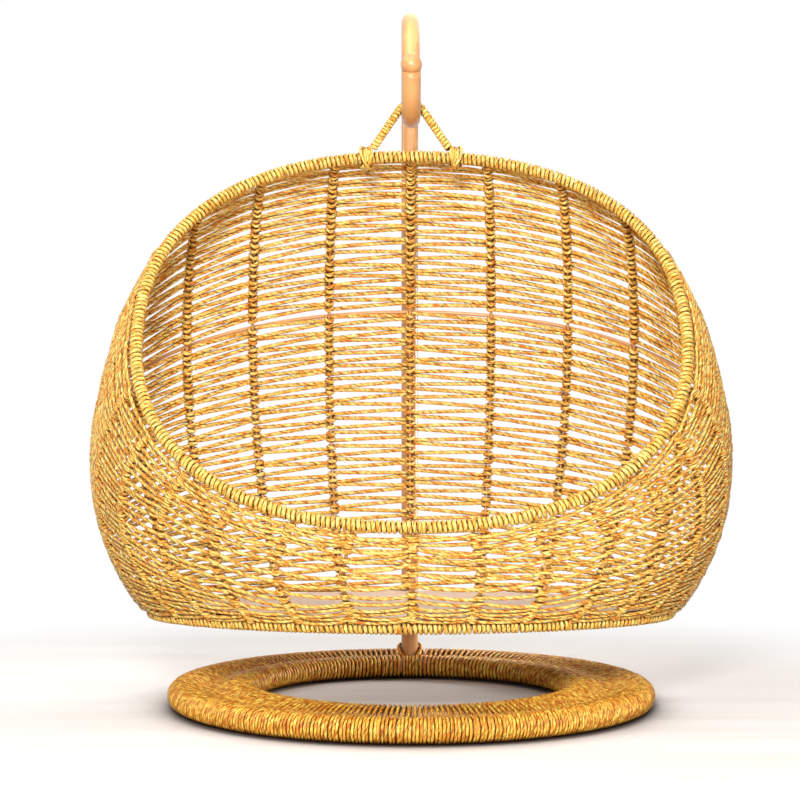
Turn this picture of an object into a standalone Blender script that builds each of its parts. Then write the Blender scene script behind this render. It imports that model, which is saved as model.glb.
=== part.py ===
"""Hanging egg chair: a corded basket on a bail, hung from the hook of a bowed pole on a round base.

Metres, +Z up. The origin is on the floor at the centre of the round base. The basket faces -Y,
the pole stands behind it at +Y, and +X is to the right for someone who looks into the basket.
"""

import math

import bpy
from mathutils import Vector

# Fits
GAP = 0.0003  # between pieces that touch
RUNNING_GAP = 0.0020  # between the lashing loops and the rim that turns in them

# Round base: two tubes side by side, wound round together with cord
BASE_OUTER_RADIUS = 0.550  # to the outer tube's centre line
BASE_INNER_RADIUS = 0.396
BASE_TUBE_DIAMETER = 0.038
BASE_TUBE_WALL = 0.002
CORD_THICKNESS = 0.010
BASE_TIE_DIAMETER = 0.022
POLE_PLATE_THICKNESS = 0.008

# Pole: one bent tube with a foot, a long bow, an arch and a hook
POLE_DIAMETER = 0.045
POLE_WALL = 0.002
FOOT_LENGTH = 0.090
FOOT_BEND_RADIUS = 0.450
POLE_LEAN = math.radians(12.5)
HOOK_RADIUS = 0.085
HOOK_DROP = 0.012
HOOK_SWEEP = math.radians(155.0)
HOOK_TIP_LENGTH = 0.046
CAP_DIAMETER = 0.050
CAP_PLUG_LENGTH = 0.022
SPIGOT_CLEARANCE = 0.0005
SPIGOT_LENGTH = 0.080
BOLT_DIAMETER = 0.008
BOLT_CLEARANCE = 0.0003
BOLT_LENGTH = 0.030
BOLT_HEAD_DIAMETER = 0.015
BOLT_HEAD_THICKNESS = 0.005
BOLT_HEIGHT_IN_FOOT = 0.048  # above the pole's lower end

# Basket: the rim's plane and the bottom ring's plane meet in a line in front of the chair, and the
# rows of the weave lie in planes that fan out between them
HANG_Y = 0.0  # of the hook and the rim's top
BASKET_Y = -0.0490  # of the bottom ring's middle, so that the basket balances under the hook
FLOOR_CLEARANCE = 0.2074
PROFILE_HALF_DEPTH = 0.4675
PROFILE_HALF_HEIGHT = 0.654
PROFILE_RISE = 0.435  # the profile's middle above the bottom ring
RIM_FRONT_RISE = 0.222  # the rim's lowest point above the bottom ring
RIM_HALF_WIDTH = 0.6165
RING_HALF_WIDTH = 0.611
SIDE_BULGE = 0.1365
BULGE_POWER = 0.74
RIM_SQUARENESS = 2.28
RING_SQUARENESS = 1.8
FRAME_ROD_DIAMETER = 0.010
RIB_DIAMETER = 0.008
RIB_COUNT = 26
RIB_CROWDING = 0.19  # how much closer the ribs stand at the front than at the back
HOOP_DIAMETER = 0.010
HOOP_PLACE = 0.39  # share of the way from the rim to the bottom ring
HOOP_END = 8.25  # in rim stations from the back
WEAVE_THICKNESS = 0.010

# Seat
SEAT_BAR_DIAMETER = 0.010
SEAT_BAR_INNER_X = 0.140
SEAT_BAR_OUTER_X = 0.400
SEAT_THICKNESS = 0.012

# Bail
BAIL_RISE = 0.093  # hook tube's centre above the rim's top
BAIL_ROD_DIAMETER = 0.008
BAIL_CORD_THICKNESS = 0.0065
BAIL_FOOT_STATION = 1.21  # in rim stations from the rim's top
LASHING_LENGTH = 0.026
LASHING_THICKNESS = 0.008

# Facets
BASE_STATIONS = 32  # a multiple of 4
BASE_SIDES = 8
POLE_SIDES = 10
RIM_STATIONS = 52
ROD_SIDES = 6
WRAP_SIDES = 6
WALL_ROWS = (9, 12)  # above and below the hoop, at the back and the sides
FRONT_ROWS = (3, 4)
SLOT_EVERY = {"back": 2, "side": 3, "front": 2}  # one row of so many is open between the ribs
COLUMN_HALF = 0.14  # half the width of the closed column over a rib, in rim stations
SIDE_BORDER = 8  # the station of the rib where the back panel meets a side panel
FRONT_BORDER = 18  # the station of the rib where a side panel meets the front panel
PANEL_SEAM = 0.012  # in rim stations, each side

# Derived sizes
BASE_TUBE_RADIUS = BASE_TUBE_DIAMETER / 2
BASE_HEIGHT = BASE_TUBE_RADIUS + CORD_THICKNESS
POLE_RADIUS = POLE_DIAMETER / 2
POLE_BORE = POLE_RADIUS - POLE_WALL
POLE_Y = (BASE_OUTER_RADIUS + BASE_INNER_RADIUS) / 2
PLATE_TOP = BASE_HEIGHT + POLE_PLATE_THICKNESS / 2
POLE_FOOT_Z = PLATE_TOP + GAP
WRAP_RADIUS = FRAME_ROD_DIAMETER / 2 + CORD_THICKNESS
RING_HEIGHT = FLOOR_CLEARANCE + WRAP_RADIUS
RIB_RADIUS = RIB_DIAMETER / 2
PROFILE_HEIGHT = RING_HEIGHT + PROFILE_RISE
TOP_SHARE = (HANG_Y - BASKET_Y) / PROFILE_HALF_DEPTH
RIM_TOP_HEIGHT = PROFILE_HEIGHT + PROFILE_HALF_HEIGHT * math.sqrt(1 - TOP_SHARE**2)
HOOK_HEIGHT = RIM_TOP_HEIGHT + BAIL_RISE
RIM_FRONT_HEIGHT = RING_HEIGHT + RIM_FRONT_RISE
BAIL_RADIUS = BAIL_ROD_DIAMETER / 2 + BAIL_CORD_THICKNESS
STATIONS_PER_RIB = RIM_STATIONS // RIB_COUNT

COLOURS = {
    "painted_steel": ((0.76, 0.47, 0.24), 0.35, 0.0),
    "cord": ((0.78, 0.55, 0.22), 0.75, 0.0),
    "seat_panel": ((0.75, 0.66, 0.55), 0.55, 0.0),
    "bolt_steel": ((0.55, 0.55, 0.55), 0.35, 1.0),
}


# ---------------------------------------------------------------- meshes


def material(name):
    """The named finish, made once."""
    found = bpy.data.materials.get(name)
    if found:
        return found
    colour, roughness, metallic = COLOURS[name]
    made = bpy.data.materials.new(name)
    made.use_nodes = True
    shader = made.node_tree.nodes["Principled BSDF"]
    shader.inputs["Base Color"].default_value = (*colour, 1.0)
    shader.inputs["Roughness"].default_value = roughness
    shader.inputs["Metallic"].default_value = metallic
    made.diffuse_color = (*colour, 1.0)
    return made


def add_object(name, points, faces, finish, parent=None):
    """A mesh object from points in the chair's frame, with its place kept under its parent."""
    mesh = bpy.data.meshes.new(name)
    mesh.from_pydata([tuple(p) for p in points], [], faces)
    mesh.validate()
    mesh.shade_smooth()
    mesh.set_sharp_from_angle(angle=math.radians(50))
    mesh.materials.append(material(finish))
    made = bpy.data.objects.new(name, mesh)
    bpy.context.scene.collection.objects.link(made)
    if parent:
        made.parent = parent
        made.matrix_parent_inverse = parent.matrix_basis.inverted()
    return made


def add_pivot(name, place, parent=None):
    """An empty that carries a body and stands on its joint's axis."""
    pivot = bpy.data.objects.new(name, None)
    pivot.location = place
    bpy.context.scene.collection.objects.link(pivot)
    if parent:
        pivot.parent = parent
        pivot.matrix_parent_inverse = parent.matrix_basis.inverted()
    return pivot


def skin(loops, start, flip=False):
    """Quads between neighbouring loops of points, numbered from start."""
    sides = len(loops[0])
    faces = []
    for row in range(len(loops) - 1):
        for side in range(sides):
            a = start + row * sides + side
            b = start + row * sides + (side + 1) % sides
            quad = (a, b, b + sides, a + sides)
            faces.append(quad[::-1] if flip else quad)
    return faces


def solid_rod(name, loops, finish, parent, joined=False):
    """A solid through the loops: its ends are capped, or joined into an endless ring."""
    points = [p for loop in loops for p in loop]
    faces = skin(loops, 0)
    sides, last = len(loops[0]), (len(loops) - 1) * len(loops[0])
    if joined:
        for side in range(sides):
            nxt = (side + 1) % sides
            faces.append((last + side, last + nxt, nxt, side))
    else:
        faces.append(tuple(range(sides))[::-1])
        faces.append(tuple(range(last, last + sides)))
    return add_object(name, points, faces, finish, parent)


def hollow_tube(name, outer, inner, finish, parent):
    """An open-ended tube between an outer and an inner set of loops."""
    points = [p for loop in outer + inner for p in loop]
    sides, shift = len(outer[0]), len(outer) * len(outer[0])
    faces = skin(outer, 0) + skin(inner, shift, flip=True)
    last = (len(outer) - 1) * sides
    for side in range(sides):
        nxt = (side + 1) % sides
        faces.append((nxt, side, shift + side, shift + nxt))
        faces.append((last + side, last + nxt, shift + last + nxt, shift + last + side))
    return add_object(name, points, faces, finish, parent)


def circle(radius, sides, turn=0.0):
    """Offsets (across, up) of a round section."""
    steps = [2 * math.pi * i / sides + turn for i in range(sides)]
    return [(radius * math.cos(t), radius * math.sin(t)) for t in steps]


def sweep(path, section, up, joined=False):
    """Loops of the section along the path. up is one vector, or one for each point of the path.

    Each loop lies in the plane that halves the bend, and is stretched across it, so that straight
    runs keep the full section and tubes of different sizes on one path stay parallel.
    """
    count, loops = len(path), []
    for i, point in enumerate(path):
        before = path[i - 1] if i or joined else None
        after = path[(i + 1) % count] if i < count - 1 or joined else None
        into = (point - before).normalized() if before else (after - point).normalized()
        out = (after - point).normalized() if after else into
        along = (into + out).normalized()
        upward = up[i] if isinstance(up, list) else up
        across = upward.cross(along).normalized()
        rise = along.cross(across)
        bend = out - into
        stretch = 1 / max(along.dot(into), 0.5) - 1
        side = bend.normalized() if bend.length > 1e-6 else across
        loop = []
        for u, w in section:
            offset = across * u + rise * w
            loop.append(point + offset + side * (offset.dot(side) * stretch))
        loops.append(loop)
    return loops


def cut_loops(loops, first, last):
    """The loops of an endless sweep from station first to station last, which may be fractions."""
    count = len(loops)

    def at(station):
        whole = math.floor(station)
        share = station - whole
        a, b = loops[whole % count], loops[(whole + 1) % count]
        return [p.lerp(q, share) for p, q in zip(a, b)]

    inside = range(math.floor(first) + 1, math.ceil(last))
    return [at(first), *[at(i) for i in inside], at(last)]


def cut_away(target, cutter):
    """Cuts the cutter's shape out of the target and leaves the cutter out of the model."""
    cutter.hide_render = True
    cutter.display_type = "WIRE"
    modifier = target.modifiers.new("cut", "BOOLEAN")
    modifier.operation = "DIFFERENCE"
    modifier.object = cutter


# ---------------------------------------------------------------- base


def base_circle(radius):
    """The stations of a ring round the Z axis, counted from +X towards +Y."""
    steps = [2 * math.pi * i / BASE_STATIONS for i in range(BASE_STATIONS)]
    return [Vector((radius * math.cos(t), radius * math.sin(t), BASE_HEIGHT)) for t in steps]


def base_tube(name, radius, seam_station, parent):
    """A tube bent into a ring, whose two ends meet at a weld seam."""
    path = base_circle(radius)
    up = Vector((0, 0, 1))
    outer = sweep(path, circle(BASE_TUBE_RADIUS, BASE_SIDES), up, joined=True)
    inner = sweep(path, circle(BASE_TUBE_RADIUS - BASE_TUBE_WALL, BASE_SIDES), up, joined=True)
    seam = GAP / (2 * math.pi * radius / BASE_STATIONS)
    span = (seam_station + seam, seam_station + BASE_STATIONS - seam)
    return hollow_tube(
        name, cut_loops(outer, *span), cut_loops(inner, *span), "painted_steel", parent
    )


def base_tie(name, angle, parent):
    """A short bar welded between the two base tubes."""
    half = BASE_TIE_DIAMETER / 2
    corner = half * math.tan(math.pi / BASE_STATIONS)
    start = BASE_INNER_RADIUS + BASE_TUBE_RADIUS + GAP
    end = BASE_OUTER_RADIUS - BASE_TUBE_RADIUS - GAP - corner
    outward = Vector((math.cos(angle), math.sin(angle), 0))
    level = Vector((0, 0, BASE_HEIGHT))
    path = [level + outward * start, level + outward * end]
    loops = sweep(path, circle(half, BASE_SIDES), Vector((0, 0, 1)))
    return solid_rod(name, loops, "painted_steel", parent)


def pole_plate(parent):
    """The plate between the base tubes that carries the pole."""
    back = BASE_STATIONS // 4
    inner = base_circle(BASE_INNER_RADIUS + BASE_TUBE_RADIUS + GAP)[back - 1 : back + 2]
    outer = base_circle(BASE_OUTER_RADIUS - BASE_TUBE_RADIUS - GAP)[back - 1 : back + 2]
    outline = inner[::-1] + outer
    half = Vector((0, 0, POLE_PLATE_THICKNESS / 2))
    loops = [[p - half for p in outline], [p + half for p in outline]]
    return solid_rod("pole_plate", loops, "painted_steel", parent)


def stadium(grow):
    """The section round both base tubes, grown past them, as (radius, height) points."""
    reach = BASE_TUBE_RADIUS + grow
    arc = [math.radians(a) for a in (-90, -45, 0, 45, 90)]
    outer = [(BASE_OUTER_RADIUS + reach * math.cos(a), reach * math.sin(a)) for a in arc]
    inner = [(BASE_INNER_RADIUS - reach * math.cos(a), reach * math.sin(a)) for a in arc[::-1]]
    return outer + inner


def base_wrap(parent):
    """The cord wound round both tubes: one shell from one side of the pole round to the other."""

    def rings(grow):
        loops = []
        for i in range(BASE_STATIONS):
            t = 2 * math.pi * i / BASE_STATIONS
            ring = [
                Vector((r * math.cos(t), r * math.sin(t), BASE_HEIGHT + h))
                for r, h in stadium(grow)
            ]
            loops.append(ring[::-1])
        return loops

    station_length = 2 * math.pi * BASE_INNER_RADIUS / BASE_STATIONS
    pole_share = (POLE_RADIUS + CORD_THICKNESS / 2) / station_length
    back = BASE_STATIONS / 4
    span = (back + pole_share, back + BASE_STATIONS - pole_share)
    outer = cut_loops(rings(CORD_THICKNESS), *span)
    inner = cut_loops(rings(GAP), *span)
    return hollow_tube("base_wrap", outer, inner, "cord", parent)


# ---------------------------------------------------------------- pole


def trace(point, heading, moves):
    """Points in the YZ plane of a bent tube's centre line. heading is the lean forward from +Z.

    A move is (length, 0) for a straight run, or (radius, turn) for a bend, where a positive turn
    leans further forward. Bends take a point about every 14 degrees, and long bows more often.
    """
    points = [point]
    for size, turn in moves:
        if turn == 0:
            point = point + size * Vector((0, -math.sin(heading), math.cos(heading)))
            points.append(point)
            continue
        sign = math.copysign(1, turn)
        to_centre = Vector((0, -math.cos(heading), -math.sin(heading))) * sign
        centre = point + size * to_centre
        steps = max(3, math.ceil(abs(turn) / math.radians(14)))
        for i in range(1, steps + 1):
            now = heading + turn * i / steps
            spoke = Vector((0, -math.cos(now), -math.sin(now))) * sign
            points.append(centre - size * spoke)
        point, heading = points[-1], heading + turn
    return points, heading


def pole_path():
    """The pole's centre line from its foot to the hook's tip, and the tip's heading."""
    foot = Vector((0, POLE_Y, POLE_FOOT_Z))
    foot_shift = FOOT_BEND_RADIUS * (1 - math.cos(POLE_LEAN))
    span = POLE_Y + foot_shift - HANG_Y - HOOK_RADIUS
    arch_radius = span / (1 + math.cos(POLE_LEAN))
    top = HOOK_HEIGHT + HOOK_RADIUS + HOOK_DROP + arch_radius
    bow_height = (
        top
        - arch_radius * (1 - math.sin(POLE_LEAN))
        - POLE_FOOT_Z
        - FOOT_LENGTH
        - FOOT_BEND_RADIUS * math.sin(POLE_LEAN)
    )
    bow_radius = bow_height / (2 * math.sin(POLE_LEAN))
    moves = [
        (FOOT_LENGTH, 0),
        (FOOT_BEND_RADIUS, -POLE_LEAN),
        (bow_radius, POLE_LEAN),
        (bow_radius, POLE_LEAN),
        (arch_radius, math.pi - POLE_LEAN),
        (HOOK_DROP, 0),
        (HOOK_RADIUS, -HOOK_SWEEP),
        (HOOK_TIP_LENGTH, 0),
    ]
    return trace(foot, 0.0, moves)


def pole(parent):
    """The bent tube, open at both ends, with a hole for the bolt at the back of its foot."""
    path, _ = pole_path()
    sideways = Vector((1, 0, 0))
    turn = math.pi / POLE_SIDES
    outer = sweep(path, circle(POLE_RADIUS, POLE_SIDES, turn), sideways)
    inner = sweep(path, circle(POLE_BORE, POLE_SIDES, turn), sideways)
    return hollow_tube("pole", outer, inner, "painted_steel", parent)


def pole_spigot(parent):
    """The upright stub on the plate that the pole's foot slides over."""
    turn = math.pi / POLE_SIDES
    low = Vector((0, POLE_Y, PLATE_TOP + GAP))
    path = [low, low + Vector((0, 0, SPIGOT_LENGTH))]
    section = circle(POLE_BORE - SPIGOT_CLEARANCE, POLE_SIDES, turn)
    loops = sweep(path, section, Vector((1, 0, 0)))
    return solid_rod("pole_spigot", loops, "painted_steel", parent)


def bolt_loops(diameter, start, end):
    """Loops of a round bar along Y at the bolt's height."""
    height = POLE_FOOT_Z + BOLT_HEIGHT_IN_FOOT
    path = [Vector((0, start, height)), Vector((0, end, height))]
    return sweep(path, circle(diameter / 2, 8, math.pi / 8), Vector((0, 0, 1)))


def pole_bolt(parent, pole_object, spigot_object):
    """The screw that holds the pole on its spigot, put in from behind, and the hole it goes in."""
    seat = POLE_Y + POLE_RADIUS * math.cos(math.pi / POLE_SIDES) + GAP
    shank = bolt_loops(BOLT_DIAMETER, seat - BOLT_LENGTH, seat)
    head = bolt_loops(BOLT_HEAD_DIAMETER, seat, seat + BOLT_HEAD_THICKNESS)
    bolt = solid_rod("pole_bolt", [*shank, *head], "bolt_steel", parent)
    hole_size = BOLT_DIAMETER + 2 * BOLT_CLEARANCE
    hole = bolt_loops(hole_size, seat - BOLT_LENGTH - GAP, seat + BOLT_HEAD_THICKNESS)
    cutter = solid_rod("bolt_hole_cutter", hole, "bolt_steel", parent)
    cut_away(pole_object, cutter)
    cut_away(spigot_object, cutter)
    return bolt


def hook_end_cap(parent):
    """The ball cap that plugs the hook's open tip."""
    path, heading = pole_path()
    tip = path[-1]
    along = Vector((0, -math.sin(heading), math.cos(heading)))
    across = Vector((1, 0, 0))
    rise = across.cross(along)
    plug = POLE_BORE - GAP
    ball = CAP_DIAMETER / 2
    flat = math.acos(POLE_RADIUS / ball)
    middle = GAP + ball * math.sin(flat)
    profile = [(plug, -CAP_PLUG_LENGTH), (plug, GAP), (POLE_RADIUS, GAP)]
    rings = 5
    for i in range(1, rings):
        t = -flat + (math.pi / 2 + flat) * i / rings
        profile.append((ball * math.cos(t), middle + ball * math.sin(t)))
    turn = math.pi / POLE_SIDES
    loops = []
    for radius, rise_along in profile:
        centre = tip + along * rise_along
        section = circle(radius, POLE_SIDES, turn)
        loops.append([centre + rise * u + across * w for u, w in section])
    return solid_rod("hook_end_cap", loops, "painted_steel", parent)


# ---------------------------------------------------------------- basket form


def profile_y(height):
    """Half the profile's depth at a height, in the chair's middle plane."""
    share = (height - PROFILE_HEIGHT) / PROFILE_HALF_HEIGHT
    return PROFILE_HALF_DEPTH * math.sqrt(1 - share * share)


RIM_TOP = Vector((0, HANG_Y, RIM_TOP_HEIGHT))
RIM_FRONT = Vector((0, BASKET_Y - profile_y(RIM_FRONT_HEIGHT), RIM_FRONT_HEIGHT))
RIM_SLOPE = math.atan2(RIM_TOP.z - RIM_FRONT.z, RIM_TOP.y - RIM_FRONT.y)
FAN_LINE = Vector(
    (0, RIM_FRONT.y - (RIM_FRONT.z - RING_HEIGHT) / math.tan(RIM_SLOPE), RING_HEIGHT)
)


def wall_point(turn, share):
    """A point of the ribs' surface.

    turn is the angle round the basket from its top or back towards +X, and share runs from 0 on
    the rim to 1 on the bottom ring. Points of one share lie in one plane through the fan line.
    """
    slope = RIM_SLOPE * (1 - share)
    run, climb = math.cos(slope), math.sin(slope)
    depth, height = PROFILE_HALF_DEPTH, PROFILE_HALF_HEIGHT
    y0, z0 = FAN_LINE.y - BASKET_Y, FAN_LINE.z - PROFILE_HEIGHT
    a = (run / depth) ** 2 + (climb / height) ** 2
    b = 2 * (y0 * run / depth**2 + z0 * climb / height**2)
    c = (y0 / depth) ** 2 + (z0 / height) ** 2 - 1
    root = math.sqrt(b * b - 4 * a * c)
    middle, half_length = -b / (2 * a), root / (2 * a)
    swell = max(math.sin(math.pi * share), 0.0) ** BULGE_POWER
    half_width = RIM_HALF_WIDTH + (RING_HALF_WIDTH - RIM_HALF_WIDTH) * share + SIDE_BULGE * swell
    power = RIM_SQUARENESS + (RING_SQUARENESS - RIM_SQUARENESS) * share
    s, k = math.sin(turn), math.cos(turn)
    size = (abs(s) ** power + abs(k) ** power) ** (-1 / power)
    along = middle + half_length * size * k
    return Vector((half_width * size * s, FAN_LINE.y + along * run, FAN_LINE.z + along * climb))


def wall_normal(turn, share):
    """The surface's normal, outward from the basket."""
    step = 1e-3
    low, high = max(share - step, 0.0), min(share + step, 1.0)
    down = wall_point(turn, high) - wall_point(turn, low)
    round_ = wall_point(turn + step, share) - wall_point(turn - step, share)
    return down.cross(round_).normalized() * -1


def station_turn(station):
    """A station's angle round the basket. The stations lie closer together towards the front."""
    even = 2 * math.pi * station / RIM_STATIONS
    return even + RIB_CROWDING * math.sin(even)


def wall_curve(share):
    """The points at all stations of one share of the way down."""
    return [wall_point(station_turn(i), share) for i in range(RIM_STATIONS)]


def share_past(turn, edge, distance):
    """The share at which a rib's end just clears a wrap of that radius round the rim or the ring.

    edge is 0 for the rim and 1 for the bottom ring.
    """
    start = wall_point(turn, edge)
    run = (wall_point(turn + 0.01, edge) - wall_point(turn - 0.01, edge)).normalized()
    low, high = 0.0, 0.5
    for _ in range(30):
        middle = (low + high) / 2
        way = wall_point(turn, abs(edge - middle)) - start
        slant = abs(way.normalized().dot(run))
        far = way.length * math.sqrt(1 - slant * slant) - RIB_RADIUS * slant > distance
        low, high = (low, middle) if far else (middle, high)
    return abs(edge - high)


def row_shares(turn, above, below):
    """Shares of the rows between the rim's wrap and the bottom ring's, with one row on the hoop."""
    first = share_past(turn, 0.0, WRAP_RADIUS + GAP)
    last = share_past(turn, 1.0, WRAP_RADIUS + GAP)
    upper = [first + (HOOP_PLACE - first) * i / above for i in range(above)]
    lower = [HOOP_PLACE + (last - HOOP_PLACE) * i / below for i in range(below + 1)]
    return upper + lower


def rim_loops(radius, sides):
    """Loops of a round section along the rim."""
    normal = Vector((0, -math.sin(RIM_SLOPE), math.cos(RIM_SLOPE)))
    return sweep(wall_curve(0.0), circle(radius, sides), normal, joined=True)


def ring_loops(radius, sides):
    """Loops of a round section along the bottom ring."""
    return sweep(wall_curve(1.0), circle(radius, sides), Vector((0, 0, 1)), joined=True)


def wrapped_ring(name, loops_of, seam_station, parent):
    """A frame rod and the cord wound round it, whose two ends meet at the seam station."""
    rod = loops_of(FRAME_ROD_DIAMETER / 2, WRAP_SIDES)
    solid_rod(name + "_rod", rod, "painted_steel", parent, joined=True)
    outer = loops_of(WRAP_RADIUS, WRAP_SIDES)
    inner = loops_of(FRAME_ROD_DIAMETER / 2 + GAP, WRAP_SIDES)
    seam = 2 * GAP / (rod[seam_station][0] - rod[seam_station + 1][0]).length
    span = (seam_station + seam, seam_station + RIM_STATIONS - seam)
    hollow_tube(name + "_wrap", cut_loops(outer, *span), cut_loops(inner, *span), "cord", parent)


def rib(number, parent):
    """A rod down the inside of the weave, from the rim's wrap to the bottom ring's."""
    station = number * STATIONS_PER_RIB
    turn = station_turn(station)
    front = FRONT_BORDER <= station <= RIM_STATIONS - FRONT_BORDER
    shares = row_shares(turn, *(FRONT_ROWS if front else WALL_ROWS))
    path = [wall_point(turn, s) for s in shares]
    normals = [wall_normal(turn, s) for s in shares]
    loops = sweep(path, circle(RIB_RADIUS, ROD_SIDES, math.pi / 2), normals)
    return solid_rod(f"rib_{number + 1:02d}", loops, "painted_steel", parent)


def mid_hoop(parent):
    """The plain rod round the outside of the weave, across the back and on to the first side ribs."""
    lift = RIB_RADIUS + WEAVE_THICKNESS + 2 * GAP + HOOP_DIAMETER / 2
    whole = math.floor(HOOP_END)
    turns = [station_turn(i) for i in (-HOOP_END, *range(-whole, whole + 1), HOOP_END)]
    normals = [wall_normal(t, HOOP_PLACE) for t in turns]
    path = [wall_point(t, HOOP_PLACE) + n * lift for t, n in zip(turns, normals)]
    loops = sweep(path, circle(HOOP_DIAMETER / 2, ROD_SIDES), normals)
    return solid_rod("mid_hoop", loops, "painted_steel", parent)


def panel_stations(first, last):
    """The stations of a panel's columns of points: its borders, each kink and both sides of each rib."""
    stations = [first + PANEL_SEAM, first + COLUMN_HALF, last - COLUMN_HALF, last - PANEL_SEAM]
    for station in range(first + 1, last):
        stations.append(station)
        if station % STATIONS_PER_RIB == 0:
            stations += [station - COLUMN_HALF, station + COLUMN_HALF]
    return sorted(stations)


def panel_layer(stations, rows, lift):
    """A panel's columns of points at a height above the ribs' surface, flat between whole stations."""
    columns = {}
    for whole in range(math.floor(stations[0]), math.ceil(stations[-1]) + 1):
        turn = station_turn(whole)
        shares = row_shares(turn, *rows)
        columns[whole] = [wall_point(turn, s) + wall_normal(turn, s) * lift for s in shares]
    layer = []
    for station in stations:
        low = math.floor(station)
        pairs = zip(columns[low], columns[low + 1])
        layer.append([a.lerp(b, station - low) for a, b in pairs])
    return layer


def weave_panel(name, first, last, rows, slot_every, parent):
    """The woven wall between two ribs: a curved sheet outside the ribs, slotted between them."""
    stations = panel_stations(first, last)
    height = RIB_RADIUS + GAP
    layers = [panel_layer(stations, rows, height + extra) for extra in (0.0, WEAVE_THICKNESS)]
    points = [p for layer in layers for column in layer for p in column]
    across, down = len(stations), sum(rows) + 1

    def point(layer, column, line):
        return (layer * across + column) * down + line

    def is_solid(column, row):
        if not (0 <= column < across - 1 and 0 <= row < down - 1):
            return False
        middle = (stations[column] + stations[column + 1]) / 2
        from_rib = abs(middle - STATIONS_PER_RIB * round(middle / STATIONS_PER_RIB))
        return from_rib < COLUMN_HALF or row % slot_every != 1

    faces = []
    for column in range(across - 1):
        for row in range(down - 1):
            if not is_solid(column, row):
                continue
            corners = [(column, row), (column + 1, row), (column + 1, row + 1), (column, row + 1)]
            faces.append([point(1, *c) for c in corners])
            faces.append([point(0, *c) for c in reversed(corners)])
            beyond = [(column, row - 1), (column + 1, row), (column, row + 1), (column - 1, row)]
            for side, neighbour in enumerate(beyond):
                if not is_solid(*neighbour):
                    a, b = corners[side], corners[(side + 1) % 4]
                    faces.append([point(1, *b), point(1, *a), point(0, *a), point(0, *b)])
    return add_object(name, points, faces, "cord", parent)


# ---------------------------------------------------------------- seat


def distance_to_ring(point):
    """The distance from a point to the bottom ring's centre line."""
    curve = wall_curve(1.0)
    nearest = math.inf
    for i, a in enumerate(curve):
        b = curve[(i + 1) % len(curve)]
        share = max(0.0, min(1.0, (point - a).dot(b - a) / (b - a).length_squared))
        nearest = min(nearest, (point - a.lerp(b, share)).length)
    return nearest


def ring_half_depth(x):
    """Half the bottom ring's depth at a distance from its middle."""
    for a, b in zip(wall_curve(1.0), wall_curve(1.0)[1:]):
        if a.x <= x <= b.x:
            return a.lerp(b, (x - a.x) / (b.x - a.x)).y - BASKET_Y
    return 0.0


def seat_bar(name, x, parent):
    """A bar from front to back across the bottom ring, up against its wrap at both ends."""
    half = SEAT_BAR_DIAMETER / 2
    centre = Vector((x, BASKET_Y, RING_HEIGHT))

    def reach(direction):
        low, high = 0.0, ring_half_depth(abs(x))
        for _ in range(30):
            middle = (low + high) / 2
            corners = [centre + Vector((side * half, direction * middle, 0)) for side in (-1, 1)]
            clear = all(distance_to_ring(c) > WRAP_RADIUS + GAP for c in corners)
            low, high = (middle, high) if clear else (low, middle)
        return low

    path = [centre - Vector((0, reach(-1), 0)), centre + Vector((0, reach(1), 0))]
    loops = sweep(path, circle(half, BASE_SIDES), Vector((0, 0, 1)))
    return solid_rod(name, loops, "painted_steel", parent)


def seat_board(parent):
    """The plain panel on the bars, cut to the inside of the bottom ring's wrap."""
    curve = wall_curve(1.0)
    outline = []
    for i, point in enumerate(curve):
        along = (curve[(i + 1) % len(curve)] - curve[i - 1]).normalized()
        inward = along.cross(Vector((0, 0, -1)))
        inward = inward if inward.dot(point - Vector((0, BASKET_Y, point.z))) < 0 else -inward
        outline.append(point + inward * (WRAP_RADIUS + 2 * GAP))
    low = Vector((0, 0, SEAT_BAR_DIAMETER / 2 + GAP))
    high = low + Vector((0, 0, SEAT_THICKNESS))
    loops = [[p + low for p in outline[::-1]], [p + high for p in outline[::-1]]]
    return solid_rod("seat_board", loops, "seat_panel", parent)


# ---------------------------------------------------------------- bail


def bail_foot(side):
    """The rim's centre point where a leg of the bail is lashed, and the rim's direction there."""
    whole = math.floor(BAIL_FOOT_STATION)
    a, b = (wall_point(station_turn(i), 0.0) for i in (whole, whole + 1))
    point, along = a.lerp(b, BAIL_FOOT_STATION - whole), b - a
    return Vector((side * point.x, point.y, point.z)), along.normalized()


def bail_path():
    """The bail's centre line from its left foot over the hook's tube to its right foot."""
    foot, rim_run = bail_foot(1)
    hook = Vector((0, foot.y, HOOK_HEIGHT))
    saddle = POLE_RADIUS + BAIL_RADIUS + 2 * GAP
    to_foot = foot - hook
    down = math.atan2(to_foot.z, to_foot.x)
    touch = down + math.acos(saddle / to_foot.length)
    leg_end = hook + saddle * Vector((math.cos(touch), 0, math.sin(touch)))
    leg = (foot - leg_end).normalized()
    slant = abs(leg.dot(rim_run))
    height = WRAP_RADIUS + RUNNING_GAP + LASHING_THICKNESS + GAP + BAIL_RADIUS * slant
    start = foot - leg * (height / math.sqrt(1 - slant * slant))
    right = [start, leg_end]
    steps = 4
    arc = []
    for i in range(1, 2 * steps):
        t = touch + (math.pi - 2 * touch) * i / (2 * steps)
        arc.append(hook + saddle * Vector((math.cos(t), 0, math.sin(t))))
    left = [Vector((-p.x, p.y, p.z)) for p in right[::-1]]
    return right + arc + left


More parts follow.
